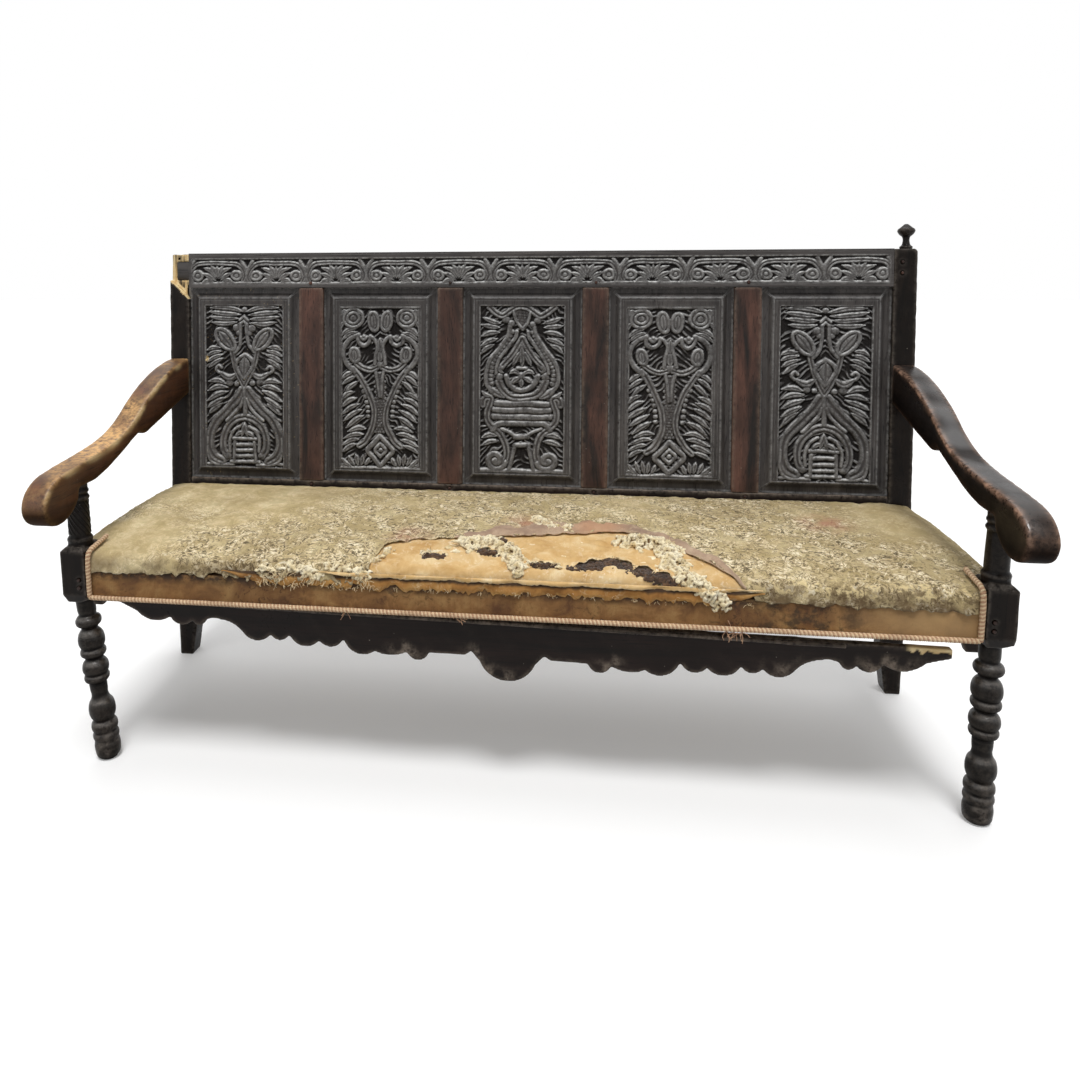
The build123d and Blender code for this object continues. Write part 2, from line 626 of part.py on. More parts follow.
# Panels: a tongue all round that stands in the bottom groove, a bevel and a raised field with its carving
for number, (x, strokes) in enumerate(zip(panel_places, panel_carvings), 1):
    ground_origin = back_plane.from_local_coords((x, carving_bottom, -panel_field_setback - carving_depth))
    ground_plane = Plane(origin=ground_origin, x_dir=(1, 0, 0), z_dir=lean_normal)
    with BuildPart() as panel:
        with BuildSketch(tenon_plane.offset(-joint_gap)):
            with Locations((x, opening_middle - (groove_depth - panel_tongue)/2)):
                Rectangle(opening_width + 2*panel_tongue, opening_height + panel_tongue + groove_depth)
        extrude(amount=-groove_width + 2*joint_gap)
        with BuildSketch(tenon_plane.offset(-joint_gap)):
            with Locations((x, opening_middle)):
                Rectangle(opening_width - 2*panel_edge_gap, opening_height - 2*panel_edge_gap)
        with BuildSketch(back_plane.offset(-panel_field_setback)):
            with Locations((x, opening_middle)):
                Rectangle(opening_width - 2*panel_bevel, opening_height - 2*panel_bevel)
        loft(ruled=True)
        with BuildSketch(ground_plane):
            with Locations((0, carving_height/2)):
                Rectangle(2*carving_half, carving_height)
        extrude(amount=carving_depth, mode=Mode.SUBTRACT)
        with BuildSketch(ground_plane):
            for points in strokes:
                for stroke in whole_strokes(points):
                    with BuildLine():
                        Polyline(*stroke_outline(stroke), close=True)
                    make_face()
        extrude(amount=carving_rise)
    panel.part.label = f"panel_{number}"
    export_step(panel.part, f"parts/panel_{number}.step")

# Pegs of the back frame
with BuildPart() as back_pegs:
    with BuildSketch(back_plane.offset(peg_proud)):
        with Locations(*left_post_pegs, *right_post_pegs):
            Circle(peg_diameter/2)
        with Locations(*[(x, v) for x in muntin_places for v in muntin_peg_vs]):
            Circle(peg_diameter/2)
    extrude(amount=-back_peg_length - peg_proud)
back_pegs.part.label = "back_pegs"
export_step(back_pegs.part, "parts/back_pegs.step")

# Front posts: turned leg, block, turned column and the tenon that enters the arm; the left leg leans in
leg_top = sum(turning[0] for turning in leg_turnings)
column_turned_height = sum(turning[0] for turning in column_turnings)
for name, side in sides:
    axis_foot = (side*post_axis_x, post_axis_y, 0)
    neck = (side*post_axis_x, post_axis_y, block_bottom)
    leg_lean = atan2(left_foot_shift, block_bottom) if side < 0 else 0
    leg_across = (cos(leg_lean), 0, sin(leg_lean))
    leg_up = (-sin(leg_lean), 0, cos(leg_lean))
    with BuildPart() as front_post:
        with BuildSketch(Plane.XY.offset(block_bottom)):
            with Locations((side*post_axis_x, post_axis_y)):
                Rectangle(block_width, block_depth)
        extrude(amount=block_top - block_bottom)
        chamfer(front_post.faces().sort_by(Axis.Z)[-1].edges(), block_cap)
        chamfer(front_post.faces().sort_by(Axis.Z)[0].edges(), block_toe_height, block_toe_width)
        with BuildSketch(Plane(origin=neck, x_dir=leg_across, z_dir=(0, -1, 0))):
            with BuildLine():
                draw_turnings(-block_bottom, leg_turnings)
                Polyline(
                    (leg_turnings[-1][3], leg_top - block_bottom),
                    (leg_neck_radius, leg_top - block_bottom),
                    (leg_neck_radius, block_toe_height),
                    (0, block_toe_height),
                    (0, -block_bottom - leg_trim),
                    (leg_turnings[0][1], -block_bottom - leg_trim),
                    (leg_turnings[0][1], -block_bottom),
                )
            make_face()
        revolve(axis=Axis(neck, leg_up))
        split(bisect_by=Plane.XY, keep=Keep.TOP)
        with BuildSketch(Plane(origin=axis_foot, x_dir=(1, 0, 0), z_dir=(0, -1, 0))):
            with BuildLine():
                draw_turnings(block_top, column_turnings)
                Polyline(
                    (column_turnings[-1][3], block_top + column_turned_height),
                    (column_neck_radius, block_top + column_turned_height),
                    (column_neck_radius, arm_seat_z),
                    (column_tenon_radius, arm_seat_z),
                    (column_tenon_radius, arm_seat_z + column_tenon_length),
                    (0, arm_seat_z + column_tenon_length),
                    (0, block_top - block_cap),
                    (column_turnings[0][1], block_top - block_cap),
                    (column_turnings[0][1], block_top),
                )
            make_face()
        revolve(axis=Axis(axis_foot, (0, 0, 1)))
        # Mortises for the front rail and the side rail
        with BuildSketch(Plane.YZ.offset(side*inner_x)):
            with Locations((front_tenon_y, seat_rail_middle)):
                Rectangle(tenon_thickness + 2*joint_gap, front_tenon_height + 2*joint_gap)
        extrude(amount=side*(front_tenon_length + joint_gap), mode=Mode.SUBTRACT)
        with BuildSketch(Plane.XZ.offset(-block_back_y)):
            with Locations((side*side_rail_x, low_tenon_z)):
                Rectangle(tenon_thickness + 2*joint_gap, half_tenon_height + 2*joint_gap)
        extrude(amount=side_tenon_length + joint_gap, mode=Mode.SUBTRACT)
        # Peg holes
        with BuildSketch(Plane.XZ.offset(-front_y)):
            with Locations(*[(side*front_peg_x, z) for z in front_peg_zs]):
                Circle(peg_hole_radius)
        extrude(amount=-front_peg_length - peg_gap, mode=Mode.SUBTRACT)
        with BuildSketch(Plane.YZ.offset(side*half_width)):
            with Locations(side_pegs[0]):
                Circle(peg_hole_radius)
        extrude(amount=-side*(side_peg_length + peg_gap), mode=Mode.SUBTRACT)
    front_post.part.label = f"front_post_{name}"
    export_step(front_post.part, f"parts/front_post_{name}.step")

# Arms: a swept board with a scrolled nose, tenoned into the back post and over the column
tail_top_z = arm_seat_z + arm_tail_top
tail_bottom_z = arm_seat_z + arm_tail_bottom


def arm_point(point):
    """Place of an arm outline point in the frame's depth and height."""
    return (front_y + point[0], arm_seat_z + point[1])


for name, side in sides:
    with BuildPart() as arm:
        with BuildSketch(Plane.YZ.offset(side*post_axis_x - arm_width/2)):
            with BuildLine():
                upper_nose = [arm_point(arm_nose_points[0]), arm_point((-arm_nose_reach, arm_nose_height))]
                lower_nose = [arm_point(point) for point in arm_nose_points[1:]]
                Spline(
                    (back_face_y(tail_top_z), tail_top_z),
                    *[arm_point(point) for point in arm_top_points],
                    *upper_nose,
                    *lower_nose,
                )
                Polyline(lower_nose[-1], arm_point((arm_seat_front, 0)), arm_point((arm_seat_back, 0)))
                Spline(
                    arm_point((arm_seat_back, 0)),
                    *[arm_point(point) for point in arm_under_points],
                    arm_point(arm_notch_points[0]),
                )
                Polyline(
                    *[arm_point(point) for point in arm_notch_points],
                    (back_face_y(tail_bottom_z), tail_bottom_z),
                    (back_face_y(tail_top_z), tail_top_z),
                )
            make_face()
        extrude(amount=arm_width)
        long_edges = arm.edges().filter_by(GeomType.BSPLINE).sort_by(SortBy.LENGTH)[-2:]
        fillet(long_edges, arm_round)
        with BuildSketch(back_plane):
            with Locations((side*post_axis_x, arm_tenon_v)):
                Rectangle(tenon_thickness, arm_tenon_height)
        extrude(amount=-arm_tenon_length)
        with BuildSketch(Plane.XY.offset(arm_seat_z)):
            with Locations((side*post_axis_x, post_axis_y)):
                Circle(column_tenon_radius + joint_gap)
        extrude(amount=column_tenon_length + joint_gap, mode=Mode.SUBTRACT)
        with BuildSketch(Plane.YZ.offset(side*half_width)):
            with Locations(arm_peg):
                Circle(peg_hole_radius)
        extrude(amount=-side*(arm_peg_length + peg_gap), mode=Mode.SUBTRACT)
    arm.part.label = f"arm_{name}"
    export_step(arm.part, f"parts/arm_{name}.step")

# Front seat rail, with sockets for the bearer's tenon and the apron's nails
apron_left_x = -inner_x + apron_left_gap
apron_y = front_y + apron_setback
apron_half_length = inner_x - (apron_left_gap + apron_right_gap)/2
apron_length = 2*apron_half_length - apron_tip_short
nail_xs = [apron_left_x + place for place in nail_places]
with BuildPart() as front_rail:
    with Locations((0, front_tenon_y, seat_rail_middle)):
        Box(2*inner_x, seat_rail_thickness, seat_rail_height)
        Box(2*(inner_x + front_tenon_length), tenon_thickness, front_tenon_height)
    with BuildSketch(Plane.XZ.offset(-front_rail_y - seat_rail_thickness)):
        with Locations((0, bearer_z)):
            Rectangle(tenon_thickness + 2*joint_gap, bearer_height/2 + 2*joint_gap)
    extrude(amount=bearer_tenon_length + joint_gap, mode=Mode.SUBTRACT)
    with BuildSketch(Plane.XY.offset(seat_rail_bottom)):
        with Locations(*[(x, apron_y + apron_thickness/2) for x in nail_xs]):
            Circle(nail_diameter/2 + nail_gap)
    extrude(amount=nail_rail_depth + nail_gap, mode=Mode.SUBTRACT)
    with BuildSketch(Plane.XZ.offset(-front_rail_y)):
        with Locations(*[(s*front_peg_x, z) for s in (-1, 1) for z in front_peg_zs]):
            Circle(peg_hole_radius)
    extrude(amount=-front_peg_length - peg_gap + front_rail_setback, mode=Mode.SUBTRACT)
front_rail.part.label = "seat_rail_front"
export_step(front_rail.part, "parts/seat_rail_front.step")

# Rear seat rail
with BuildPart() as rear_rail:
    with Locations((0, rear_tenon_y, seat_rail_middle)):
        Box(2*back_inner_x, seat_rail_thickness, seat_rail_height)
    with Locations((0, rear_tenon_y, high_tenon_z)):
        Box(2*(back_inner_x + rear_tenon_length), tenon_thickness, half_tenon_height)
    with BuildSketch(Plane.XZ.offset(-rear_rail_y)):
        with Locations((0, bearer_z)):
            Rectangle(tenon_thickness + 2*joint_gap, bearer_height/2 + 2*joint_gap)
    extrude(amount=-bearer_tenon_length - joint_gap, mode=Mode.SUBTRACT)
rear_rail.part.label = "seat_rail_rear"
export_step(rear_rail.part, "parts/seat_rail_rear.step")

# Side seat rails
side_middle_y = (block_back_y + back_y)/2
side_length = back_y - block_back_y
for name, side in sides:
    with BuildPart() as side_rail:
        with Locations((side*side_rail_x, side_middle_y, seat_rail_middle)):
            Box(seat_rail_thickness, side_length, seat_rail_height)
        with Locations((side*side_rail_x, side_middle_y, low_tenon_z)):
            Box(tenon_thickness, side_length + 2*side_tenon_length, half_tenon_height)
        with BuildSketch(Plane.YZ.offset(side*half_width)):
            with Locations(*side_pegs):
                Circle(peg_hole_radius)
        extrude(amount=-side*(side_peg_length + peg_gap), mode=Mode.SUBTRACT)
    side_rail.part.label = f"seat_rail_{name}"
    export_step(side_rail.part, f"parts/seat_rail_{name}.step")

# Bearer that ties the front and rear seat rails at the middle
bearer_front_y = front_rail_y + seat_rail_thickness
with BuildPart() as bearer:
    with Locations((0, (bearer_front_y + rear_rail_y)/2, bearer_z)):
        Box(bearer_width, rear_rail_y - bearer_front_y, bearer_height)
        Box(tenon_thickness, rear_rail_y - bearer_front_y + 2*bearer_tenon_length, bearer_height/2)
bearer.part.label = "seat_bearer"
export_step(bearer.part, "parts/seat_bearer.step")

# Pegs of the seat frame and of the arms
with BuildPart() as seat_pegs:
    with BuildSketch(Plane.XZ.offset(-front_y + peg_proud)):
        with Locations(*[(s*front_peg_x, z) for s in (-1, 1) for z in front_peg_zs]):
            Circle(peg_diameter/2)
    extrude(amount=-front_peg_length - peg_proud)
    for name, side in sides:
        with BuildSketch(Plane.YZ.offset(side*half_width)):
            with Locations(*side_pegs):
                Circle(peg_diameter/2)
        extrude(amount=-side*side_peg_length)
seat_pegs.part.label = "seat_pegs"
export_step(seat_pegs.part, "parts/seat_pegs.step")

with BuildPart() as arm_pegs:
    for name, side in sides:
        with BuildSketch(Plane.YZ.offset(side*half_width)):
            with Locations(arm_peg):
                Circle(peg_diameter/2)
        extrude(amount=-side*arm_peg_length)
arm_pegs.part.label = "arm_pegs"
export_step(arm_pegs.part, "parts/arm_pegs.step")

# Apron: a scalloped board that has dropped at its right end, where its tip is broken
apron_across = (cos(apron_droop), 0, -sin(apron_droop))
apron_plane = Plane(origin=(apron_left_x, apron_y, seat_rail_bottom), x_dir=apron_across, z_dir=(0, -1, 0))
scallop_ends = apron_scallops[1:] + [apron_last_notch]
lobe_u, lobe_d = apron_shoulder[0]
with BuildPart() as apron:
    with BuildSketch(apron_plane):
        with BuildLine():
            broken_end = [(apron_length, apron_end_depth), (apron_length, 0)]
            for side, end_points in ((-1, apron_heel), (1, broken_end)):
                along = side*apron_half_length/apron_pattern_half
                Polyline(*[(apron_half_length + along*u, -d) for u, d in apron_shoulder])
                for (u, d, tip_u, tip_d), scallop_end in zip(apron_scallops, scallop_ends):
                    ThreePointArc(
                        (apron_half_length + along*u, -d),
                        (apron_half_length + along*tip_u, -tip_d),
                        (apron_half_length + along*scallop_end[0], -scallop_end[1]),
                    )
                Polyline(
                    (apron_half_length + along*apron_last_notch[0], -apron_last_notch[1]),
                    *[(u, -d) for u, d in end_points],
                )
                lobe_end = (apron_half_length + along*lobe_u, -lobe_d)
            lobe_start = (2*apron_half_length - lobe_end[0], -lobe_d)
            ThreePointArc(lobe_start, (apron_half_length, -apron_lobe_depth), lobe_end)
            Line((0, 0), (apron_length, 0))
        make_face()
    extrude(amount=-apron_thickness)
    with BuildSketch(Plane.XY.offset(seat_rail_bottom)):
        with Locations(*[(x, apron_y + apron_thickness/2) for x in nail_xs]):
            Circle(nail_diameter/2 + nail_gap)
    extrude(amount=-nail_apron_depth - nail_gap, mode=Mode.SUBTRACT)
apron.part.label = "front_apron"
export_step(apron.part, "parts/front_apron.step")

# Stub of the apron, left beside the right post
stub_plane = Plane(origin=(inner_x, apron_y, seat_rail_bottom), x_dir=(-1, 0, 0), z_dir=(0, -1, 0))
with BuildPart() as apron_stub:
    with BuildSketch(stub_plane):
        with BuildLine():
            Polyline(*stub_outline, close=True)
        make_face()
    extrude(amount=-apron_thickness)
apron_stub.part.label = "apron_stub"
export_step(apron_stub.part, "parts/apron_stub.step")

# Lath along the apron's top edge
strip_length = apron_length - strip_left_gap - strip_right_gap
with BuildPart() as strip:
    with BuildSketch(apron_plane):
        with Locations((strip_left_gap + strip_length/2, -strip_height/2)):
            Rectangle(strip_length, strip_height)
    extrude(amount=strip_thickness)
    chamfer(strip.faces().sort_by(Axis.Y)[0].edges().sort_by(SortBy.LENGTH)[-2:], strip_thickness/3)
strip.part.label = "apron_strip"
export_step(strip.part, "parts/apron_strip.step")

# Nails that still hold the apron's left part
with BuildPart() as nails:
    for x, place in zip(nail_xs, nail_places):
        with BuildSketch(Plane.XY.offset(seat_rail_bottom + nail_rail_depth)):
            with Locations((x, apron_y + apron_thickness/2)):
                Circle(nail_diameter/2)
        extrude(amount=-nail_rail_depth - nail_apron_depth)
nails.part.label = "apron_nails"
export_step(nails.part, "parts/apron_nails.step")

# Webbing across the seat and along it, with the long straps' ends folded under
cross_pitch = 2*inner_x/cross_web_count
cross_places = [(n - (cross_web_count - 1)/2)*cross_pitch for n in range(cross_web_count)]
cross_start = front_rail_y + web_edge
cross_end = rear_rail_y + seat_rail_thickness - web_edge
with BuildPart() as cross_webs:
    with BuildSketch(Plane.XY.offset(seat_rail_top)):
        with Locations(*[(x, (cross_start + cross_end)/2) for x in cross_places]):
            Rectangle(web_width, cross_end - cross_start)
    extrude(amount=web_thickness)
cross_webs.part.label = "webbing_crosswise"
export_step(cross_webs.part, "parts/webbing_crosswise.step")

long_places = [block_back_y + side_length*(n + 1)/(long_web_count + 1) for n in range(long_web_count)]
with BuildPart() as long_webs:
    with BuildSketch(Plane.XY.offset(seat_rail_top + web_thickness)):
        with Locations(*[(0, y) for y in long_places]):
            Rectangle(2*(side_outer_x - web_edge), web_width)
    extrude(amount=web_thickness)
    with BuildSketch(Plane.XY.offset(seat_rail_top)):
        fold_x = side_outer_x - web_edge - web_fold/2
        with Locations(*[(s*fold_x, y) for s in (-1, 1) for y in long_places]):
            Rectangle(web_fold, web_width)
    extrude(amount=web_thickness)
long_webs.part.label = "webbing_lengthwise"
export_step(long_webs.part, "parts/webbing_lengthwise.step")

# Hessian over the webbing, cut round the posts
hessian_z = seat_rail_top + 2*web_thickness
pad_base = hessian_z + hessian_thickness
notch_x = inner_x - post_clearance
notch_y = block_back_y + post_clearance
hessian_front = front_rail_y + hessian_edge
hessian_back = cross_end - hessian_edge
with BuildPart() as hessian:
    with BuildSketch(Plane.XY.offset(hessian_z)):
        with Locations((0, (hessian_front + hessian_back)/2)):
            Rectangle(2*notch_x, hessian_back - hessian_front)
        with Locations((0, (notch_y + back_y - post_clearance)/2)):
            Rectangle(2*(side_outer_x - hessian_edge), back_y - post_clearance - notch_y)
    extrude(amount=hessian_thickness)
hessian.part.label = "seat_hessian"
export_step(hessian.part, "parts/seat_hessian.step")

# The stuffed seat: sections along X, with a rolled front edge, a crown and lower ends
pad_rear_y = back_y - pad_rear_gap
pad_end_x = side_outer_x
pad_flat_x = pad_end_x - pad_end_length
pad_stations = [(-pad_end_x, pad_end_drop), (-pad_flat_x, 0), (pad_flat_x, 0), (pad_end_x, pad_end_drop)]
roll_y = front_rail_y + pad_roll
crown_y = (roll_y + pad_rear_y)/2


def draw_seat_top(drop, lift):
    """Draw the rolled front and the crown of a layer that lies a lift above the stuffing."""
    front_z = pad_base + pad_front_rise - drop
    radius = pad_roll + lift
    corner = radius/sqrt(2)
    roll_start = (front_rail_y - lift, front_z - pad_roll)
    roll_end = (roll_y, front_z + lift)
    rear = (pad_rear_y, pad_base + pad_rear_rise - drop + lift)
    ThreePointArc(roll_start, (roll_y - corner, front_z - pad_roll + corner), roll_end)
    ThreePointArc(roll_end, (crown_y, pad_base + pad_crown_rise - drop + lift), rear)
    return roll_start, rear


with BuildPart() as stuffing:
    for x, drop in pad_stations:
        with BuildSketch(Plane.YZ.offset(x)):
            with BuildLine():
                roll_start, rear = draw_seat_top(drop, 0)
                Polyline(rear, (pad_rear_y, pad_base), (front_rail_y, pad_base), roll_start)
            make_face()
    loft(ruled=True)
    with Locations(*[(s*(notch_x + block_width), notch_y - block_depth, block_top) for s in (-1, 1)]):
        Box(2*block_width, 2*block_depth, block_top, mode=Mode.SUBTRACT)
stuffing.part.label = "seat_stuffing"
export_step(stuffing.part, "parts/seat_stuffing.step")

# Canvas over the stuffing
canvas_lift = layer_gap + skin_thickness
cover_lift = canvas_lift + layer_gap + skin_thickness
with BuildPart() as canvas:
    for x, drop in pad_stations:
        with BuildSketch(Plane.YZ.offset(x)):
            with BuildLine():
                inner_start, inner_rear = draw_seat_top(drop, layer_gap)
                outer_start, outer_rear = draw_seat_top(drop, canvas_lift)
                Line(inner_rear, outer_rear)
                Polyline(
                    inner_start,
                    (inner_start[0], seat_rail_top),
                    (outer_start[0], seat_rail_top),
                    outer_start,
                )
            make_face()
    loft(ruled=True)
    with Locations(*[(s*(notch_x + block_width), notch_y - block_depth, block_top) for s in (-1, 1)]):
        Box(2*block_width, 2*block_depth, block_top, mode=Mode.SUBTRACT)
canvas.part.label = "seat_canvas"
export_step(canvas.part, "parts/seat_canvas.step")

# Woven cover over the canvas, torn open along the front
cover_notch_x = notch_x - 2*cord_radius - cord_gap
with BuildPart() as cover:
    for x, drop in pad_stations:
        with BuildSketch(Plane.YZ.offset(x)):
            with BuildLine():
                inner_start, inner_rear = draw_seat_top(drop, canvas_lift + layer_gap)
                outer_start, outer_rear = draw_seat_top(drop, cover_lift)
                Line(inner_rear, outer_rear)
                Polyline(
                    inner_start,
                    (inner_start[0], seat_rail_top - cover_flap),
                    (outer_start[0], seat_rail_top - cover_flap),
                    outer_start,
                )
            make_face()
    loft(ruled=True)
    with Locations(*[(s*(cover_notch_x + block_width), notch_y - block_depth, block_top) for s in (-1, 1)]):
        Box(2*block_width, 2*block_depth, block_top, mode=Mode.SUBTRACT)
    with BuildSketch(Plane.XY.offset(seat_rail_bottom)):
        with BuildLine():
            Polyline(
                (tear_left, front_y - pad_roll),
                (tear_right, front_y - pad_roll),
                *[(x, front_y + depth) for x, depth in tear_inner_edge],
                close=True,
            )
        make_face()
    extrude(amount=block_top, mode=Mode.SUBTRACT)
cover.part.label = "seat_cover"
export_step(cover.part, "parts/seat_cover.step")

# Plain cloth borders: one on the front rail, one on each side rail
border_front_y = front_rail_y - skin_thickness
border_bottom = seat_rail_bottom - border_drop
border_top = seat_rail_top - layer_gap
with BuildPart() as front_border:
    with Locations((0, (border_front_y + front_rail_y)/2, (border_bottom + border_top)/2)):
        Box(2*notch_x, skin_thickness, border_top - border_bottom)
front_border.part.label = "border_front"
export_step(front_border.part, "parts/border_front.step")

side_border_bottom = seat_rail_top - side_border_drop
for name, side in sides:
    with BuildPart() as side_border:
        with BuildSketch(Plane.YZ.offset(side*side_outer_x)):
            crown_z = pad_base + pad_crown_rise - pad_end_drop + cover_lift
            front_z = pad_base + pad_front_rise - pad_end_drop + cover_lift
            rear_z = pad_base + pad_rear_rise - pad_end_drop + cover_lift
            with BuildLine():
                ThreePointArc((notch_y, front_z), (crown_y, crown_z), (pad_rear_y, rear_z))
                Polyline(
                    (pad_rear_y, rear_z),
                    (pad_rear_y, side_border_bottom),
                    (notch_y, side_border_bottom),
                    (notch_y, front_z),
                )
            make_face()
        extrude(amount=side*skin_thickness)
    side_border.part.label = f"border_{name}"
    export_step(side_border.part, f"parts/border_{name}.step")

# Cord along the front border, up beside each post and back over the seat's edge
cord_x = notch_x - cord_radius
cord_y = front_rail_y - canvas_lift - cord_radius - cord_gap
cord_low = border_bottom + cord_radius
cord_high = pad_base + pad_front_rise + canvas_lift + cord_radius + cord_gap
cord_back = (roll_y + cord_tail, cord_high + cord_rise)
cord_route = [
    (-cord_x, *cord_back),
    (-cord_x, cord_y, cord_high),
    (-cord_x, cord_y, cord_low),
    (cord_x, cord_y, cord_low),
    (cord_x, cord_y, cord_high),
    (cord_x, *cord_back),
]
roll_bend = pad_roll + canvas_lift + cord_radius
with BuildPart() as cord:
    with BuildLine() as route:
        FilletPolyline(*cord_route, radius=[roll_bend, cord_corner, cord_corner, roll_bend])
    with BuildSketch(Plane(origin=route.line @ 0, z_dir=route.line % 0)):
        Circle(cord_radius)
    sweep()
cord.part.label = "border_cord"
export_step(cord.part, "parts/border_cord.step")
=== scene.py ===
"""Old carved settle: worn dark oak, a torn stuffed seat and a twisted cord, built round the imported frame."""
from math import cos, hypot, pi, radians, sin, sqrt

import bmesh
import bpy
import numpy as np
from mathutils import Matrix, Vector
from mathutils.bvhtree import BVHTree


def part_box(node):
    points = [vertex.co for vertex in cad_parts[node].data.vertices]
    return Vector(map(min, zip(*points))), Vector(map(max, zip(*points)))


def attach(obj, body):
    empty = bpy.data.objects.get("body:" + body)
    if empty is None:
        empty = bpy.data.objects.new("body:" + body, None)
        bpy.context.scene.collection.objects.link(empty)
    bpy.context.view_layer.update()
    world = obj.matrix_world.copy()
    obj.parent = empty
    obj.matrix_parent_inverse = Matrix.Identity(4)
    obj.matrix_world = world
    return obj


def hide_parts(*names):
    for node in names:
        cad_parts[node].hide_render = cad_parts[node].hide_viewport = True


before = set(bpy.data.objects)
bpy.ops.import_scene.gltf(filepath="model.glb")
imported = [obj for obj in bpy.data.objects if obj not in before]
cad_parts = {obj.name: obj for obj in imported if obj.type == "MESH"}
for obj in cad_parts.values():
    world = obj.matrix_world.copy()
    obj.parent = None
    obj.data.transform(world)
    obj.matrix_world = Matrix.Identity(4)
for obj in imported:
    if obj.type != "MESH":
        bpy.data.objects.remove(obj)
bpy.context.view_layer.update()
scene = bpy.context.scene
mm = 0.001

# Places of the joined frame, in metres
rake = radians(5.5)
front_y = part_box("front_post_left")[0].y
back_y = front_y + 0.4586
seat_rail_top = 0.405
block_back_y = front_y + 0.068
post_axis = (0.8425, front_y + 0.034)
turning_low, turning_high, turning_fade = 0.012, 0.318, 0.012
scuffed_height, leg_top = 0.13, 0.33
dent_depth = 0.25*mm


def back_point(u, v, w):
    """A place on the leaning back: across, up along the lean and out of the front face, all in metres."""
    return u, back_y + v*sin(rake) - w*cos(rake), seat_rail_top + v*cos(rake) + w*sin(rake)


# Camera at the photograph's viewing angle
def set_camera():
    yaw, pitch, tilt = -0.1303, 0.1349, -0.0082
    picture_size, focal_length = 1080, 836.85
    centre_x, centre_y = 464.95, 359.8
    forward = Vector((sin(yaw)*cos(pitch), cos(yaw)*cos(pitch), -sin(pitch)))
    level = Vector((cos(yaw), -sin(yaw), 0))
    upright = level.cross(forward)
    sideways = level*cos(tilt) + upright*sin(tilt)
    upward = upright*cos(tilt) - level*sin(tilt)
    lens = bpy.data.cameras.new("camera")
    lens.sensor_width = 36
    lens.lens = 36*focal_length/picture_size
    lens.shift_x = (picture_size/2 - centre_x)/picture_size
    lens.shift_y = (centre_y - picture_size/2)/picture_size
    place = Matrix((sideways, upward, -forward)).transposed().to_4x4()
    place.translation = Vector((0.1201, front_y - 1.4449, 1.0245))
    scene.camera = placed("camera", lens)
    scene.camera.matrix_world = place


# Soft studio light, a white surround and a pale floor that keeps the shadow
def seen_rays(add, link):
    """One for rays from the camera, direct or by way of gloss or glass, which meet a white surround."""
    rays = add("ShaderNodeLightPath")
    total = rays.outputs["Is Camera Ray"]
    for kind in ("Is Glossy Ray", "Is Transmission Ray"):
        either = add("ShaderNodeMath")
        either.operation = "MAXIMUM"
        link(total, either.inputs[0])
        link(rays.outputs[kind], either.inputs[1])
        total = either.outputs[0]
    return total


def set_studio():
    lamps = [
        ("top", (0.05, -0.36, 1.0), 2.0, 18),
        ("rear", (0.05, 0.33, 1.0), 1.05, 45),
        ("key", (-0.6, -0.8, 0.55), 0.5, 50),
        ("fill", (0.9, -0.6, 0.5), 0.3, 60),
    ]
    for name, origin, strength, spread in lamps:
        light = bpy.data.lights.new(name, "SUN")
        light.energy = strength
        light.angle = radians(spread)
        placed(name, light).rotation_euler = (-Vector(origin)).to_track_quat("-Z", "Y").to_euler()
    world = bpy.data.worlds.new("surround")
    world.use_nodes = True
    tree = world.node_tree
    background = tree.nodes["Background"]
    background.inputs["Color"].default_value = (1, 1, 1, 1)
    brightness = tree.nodes.new("ShaderNodeMapRange")
    brightness.inputs["To Min"].default_value = 0.2
    brightness.inputs["To Max"].default_value = 1.0
    tree.links.new(seen_rays(tree.nodes.new, tree.links.new), brightness.inputs["Value"])
    tree.links.new(brightness.outputs["Result"], background.inputs["Strength"])
    scene.world = world
    pale = Finish("pale_floor", roughness=0.9)
    pale.shader.inputs["Specular IOR Level"].default_value = 0.0
    seen = seen_rays(pale.tree.nodes.new, pale.tree.links.new)
    pale.paint(pale.mix(seen, 0.4, 0.86))
    pale.shader.inputs["Emission Color"].default_value = (1, 1, 1, 1)
    pale.link(pale.times(seen, 0.17), "Emission Strength")
    reach = 14.0
    corners = [(-reach, -reach, 0), (reach, -reach, 0), (reach, reach, 0), (-reach, reach, 0)]
    floor = mesh_piece("floor", corners, [(0, 1, 2, 3)], pale.material)
    scene.view_settings.view_transform = "Standard"


# Materials
class Nodes:
    """Short calls for adding nodes to a tree."""

    def add(self, kind, values=None, **settings):
        node = self.tree.nodes.new(kind)
        for key, value in settings.items():
            setattr(node, key, value)
        for key, value in (values or {}).items():
            if isinstance(value, bpy.types.NodeSocket):
                self.tree.links.new(value, node.inputs[key])
            else:
                node.inputs[key].default_value = value
        return node.outputs

    def math(self, operation, first, second=0.0, clamp=False):
        return self.add("ShaderNodeMath", {0: first, 1: second}, operation=operation, use_clamp=clamp)[0]

    def vector(self, operation, first, second):
        return self.add("ShaderNodeVectorMath", {0: first, 1: second}, operation=operation)[0]

    def scaled(self, vector, factor):
        return self.add("ShaderNodeVectorMath", {0: vector, "Scale": factor}, operation="SCALE")[0]

    def times(self, first, *others, clamp=False):
        for other in others:
            first = self.math("MULTIPLY", first, other, clamp)
        return first

    def plus(self, first, *others):
        for other in others:
            first = self.math("ADD", first, other)
        return first


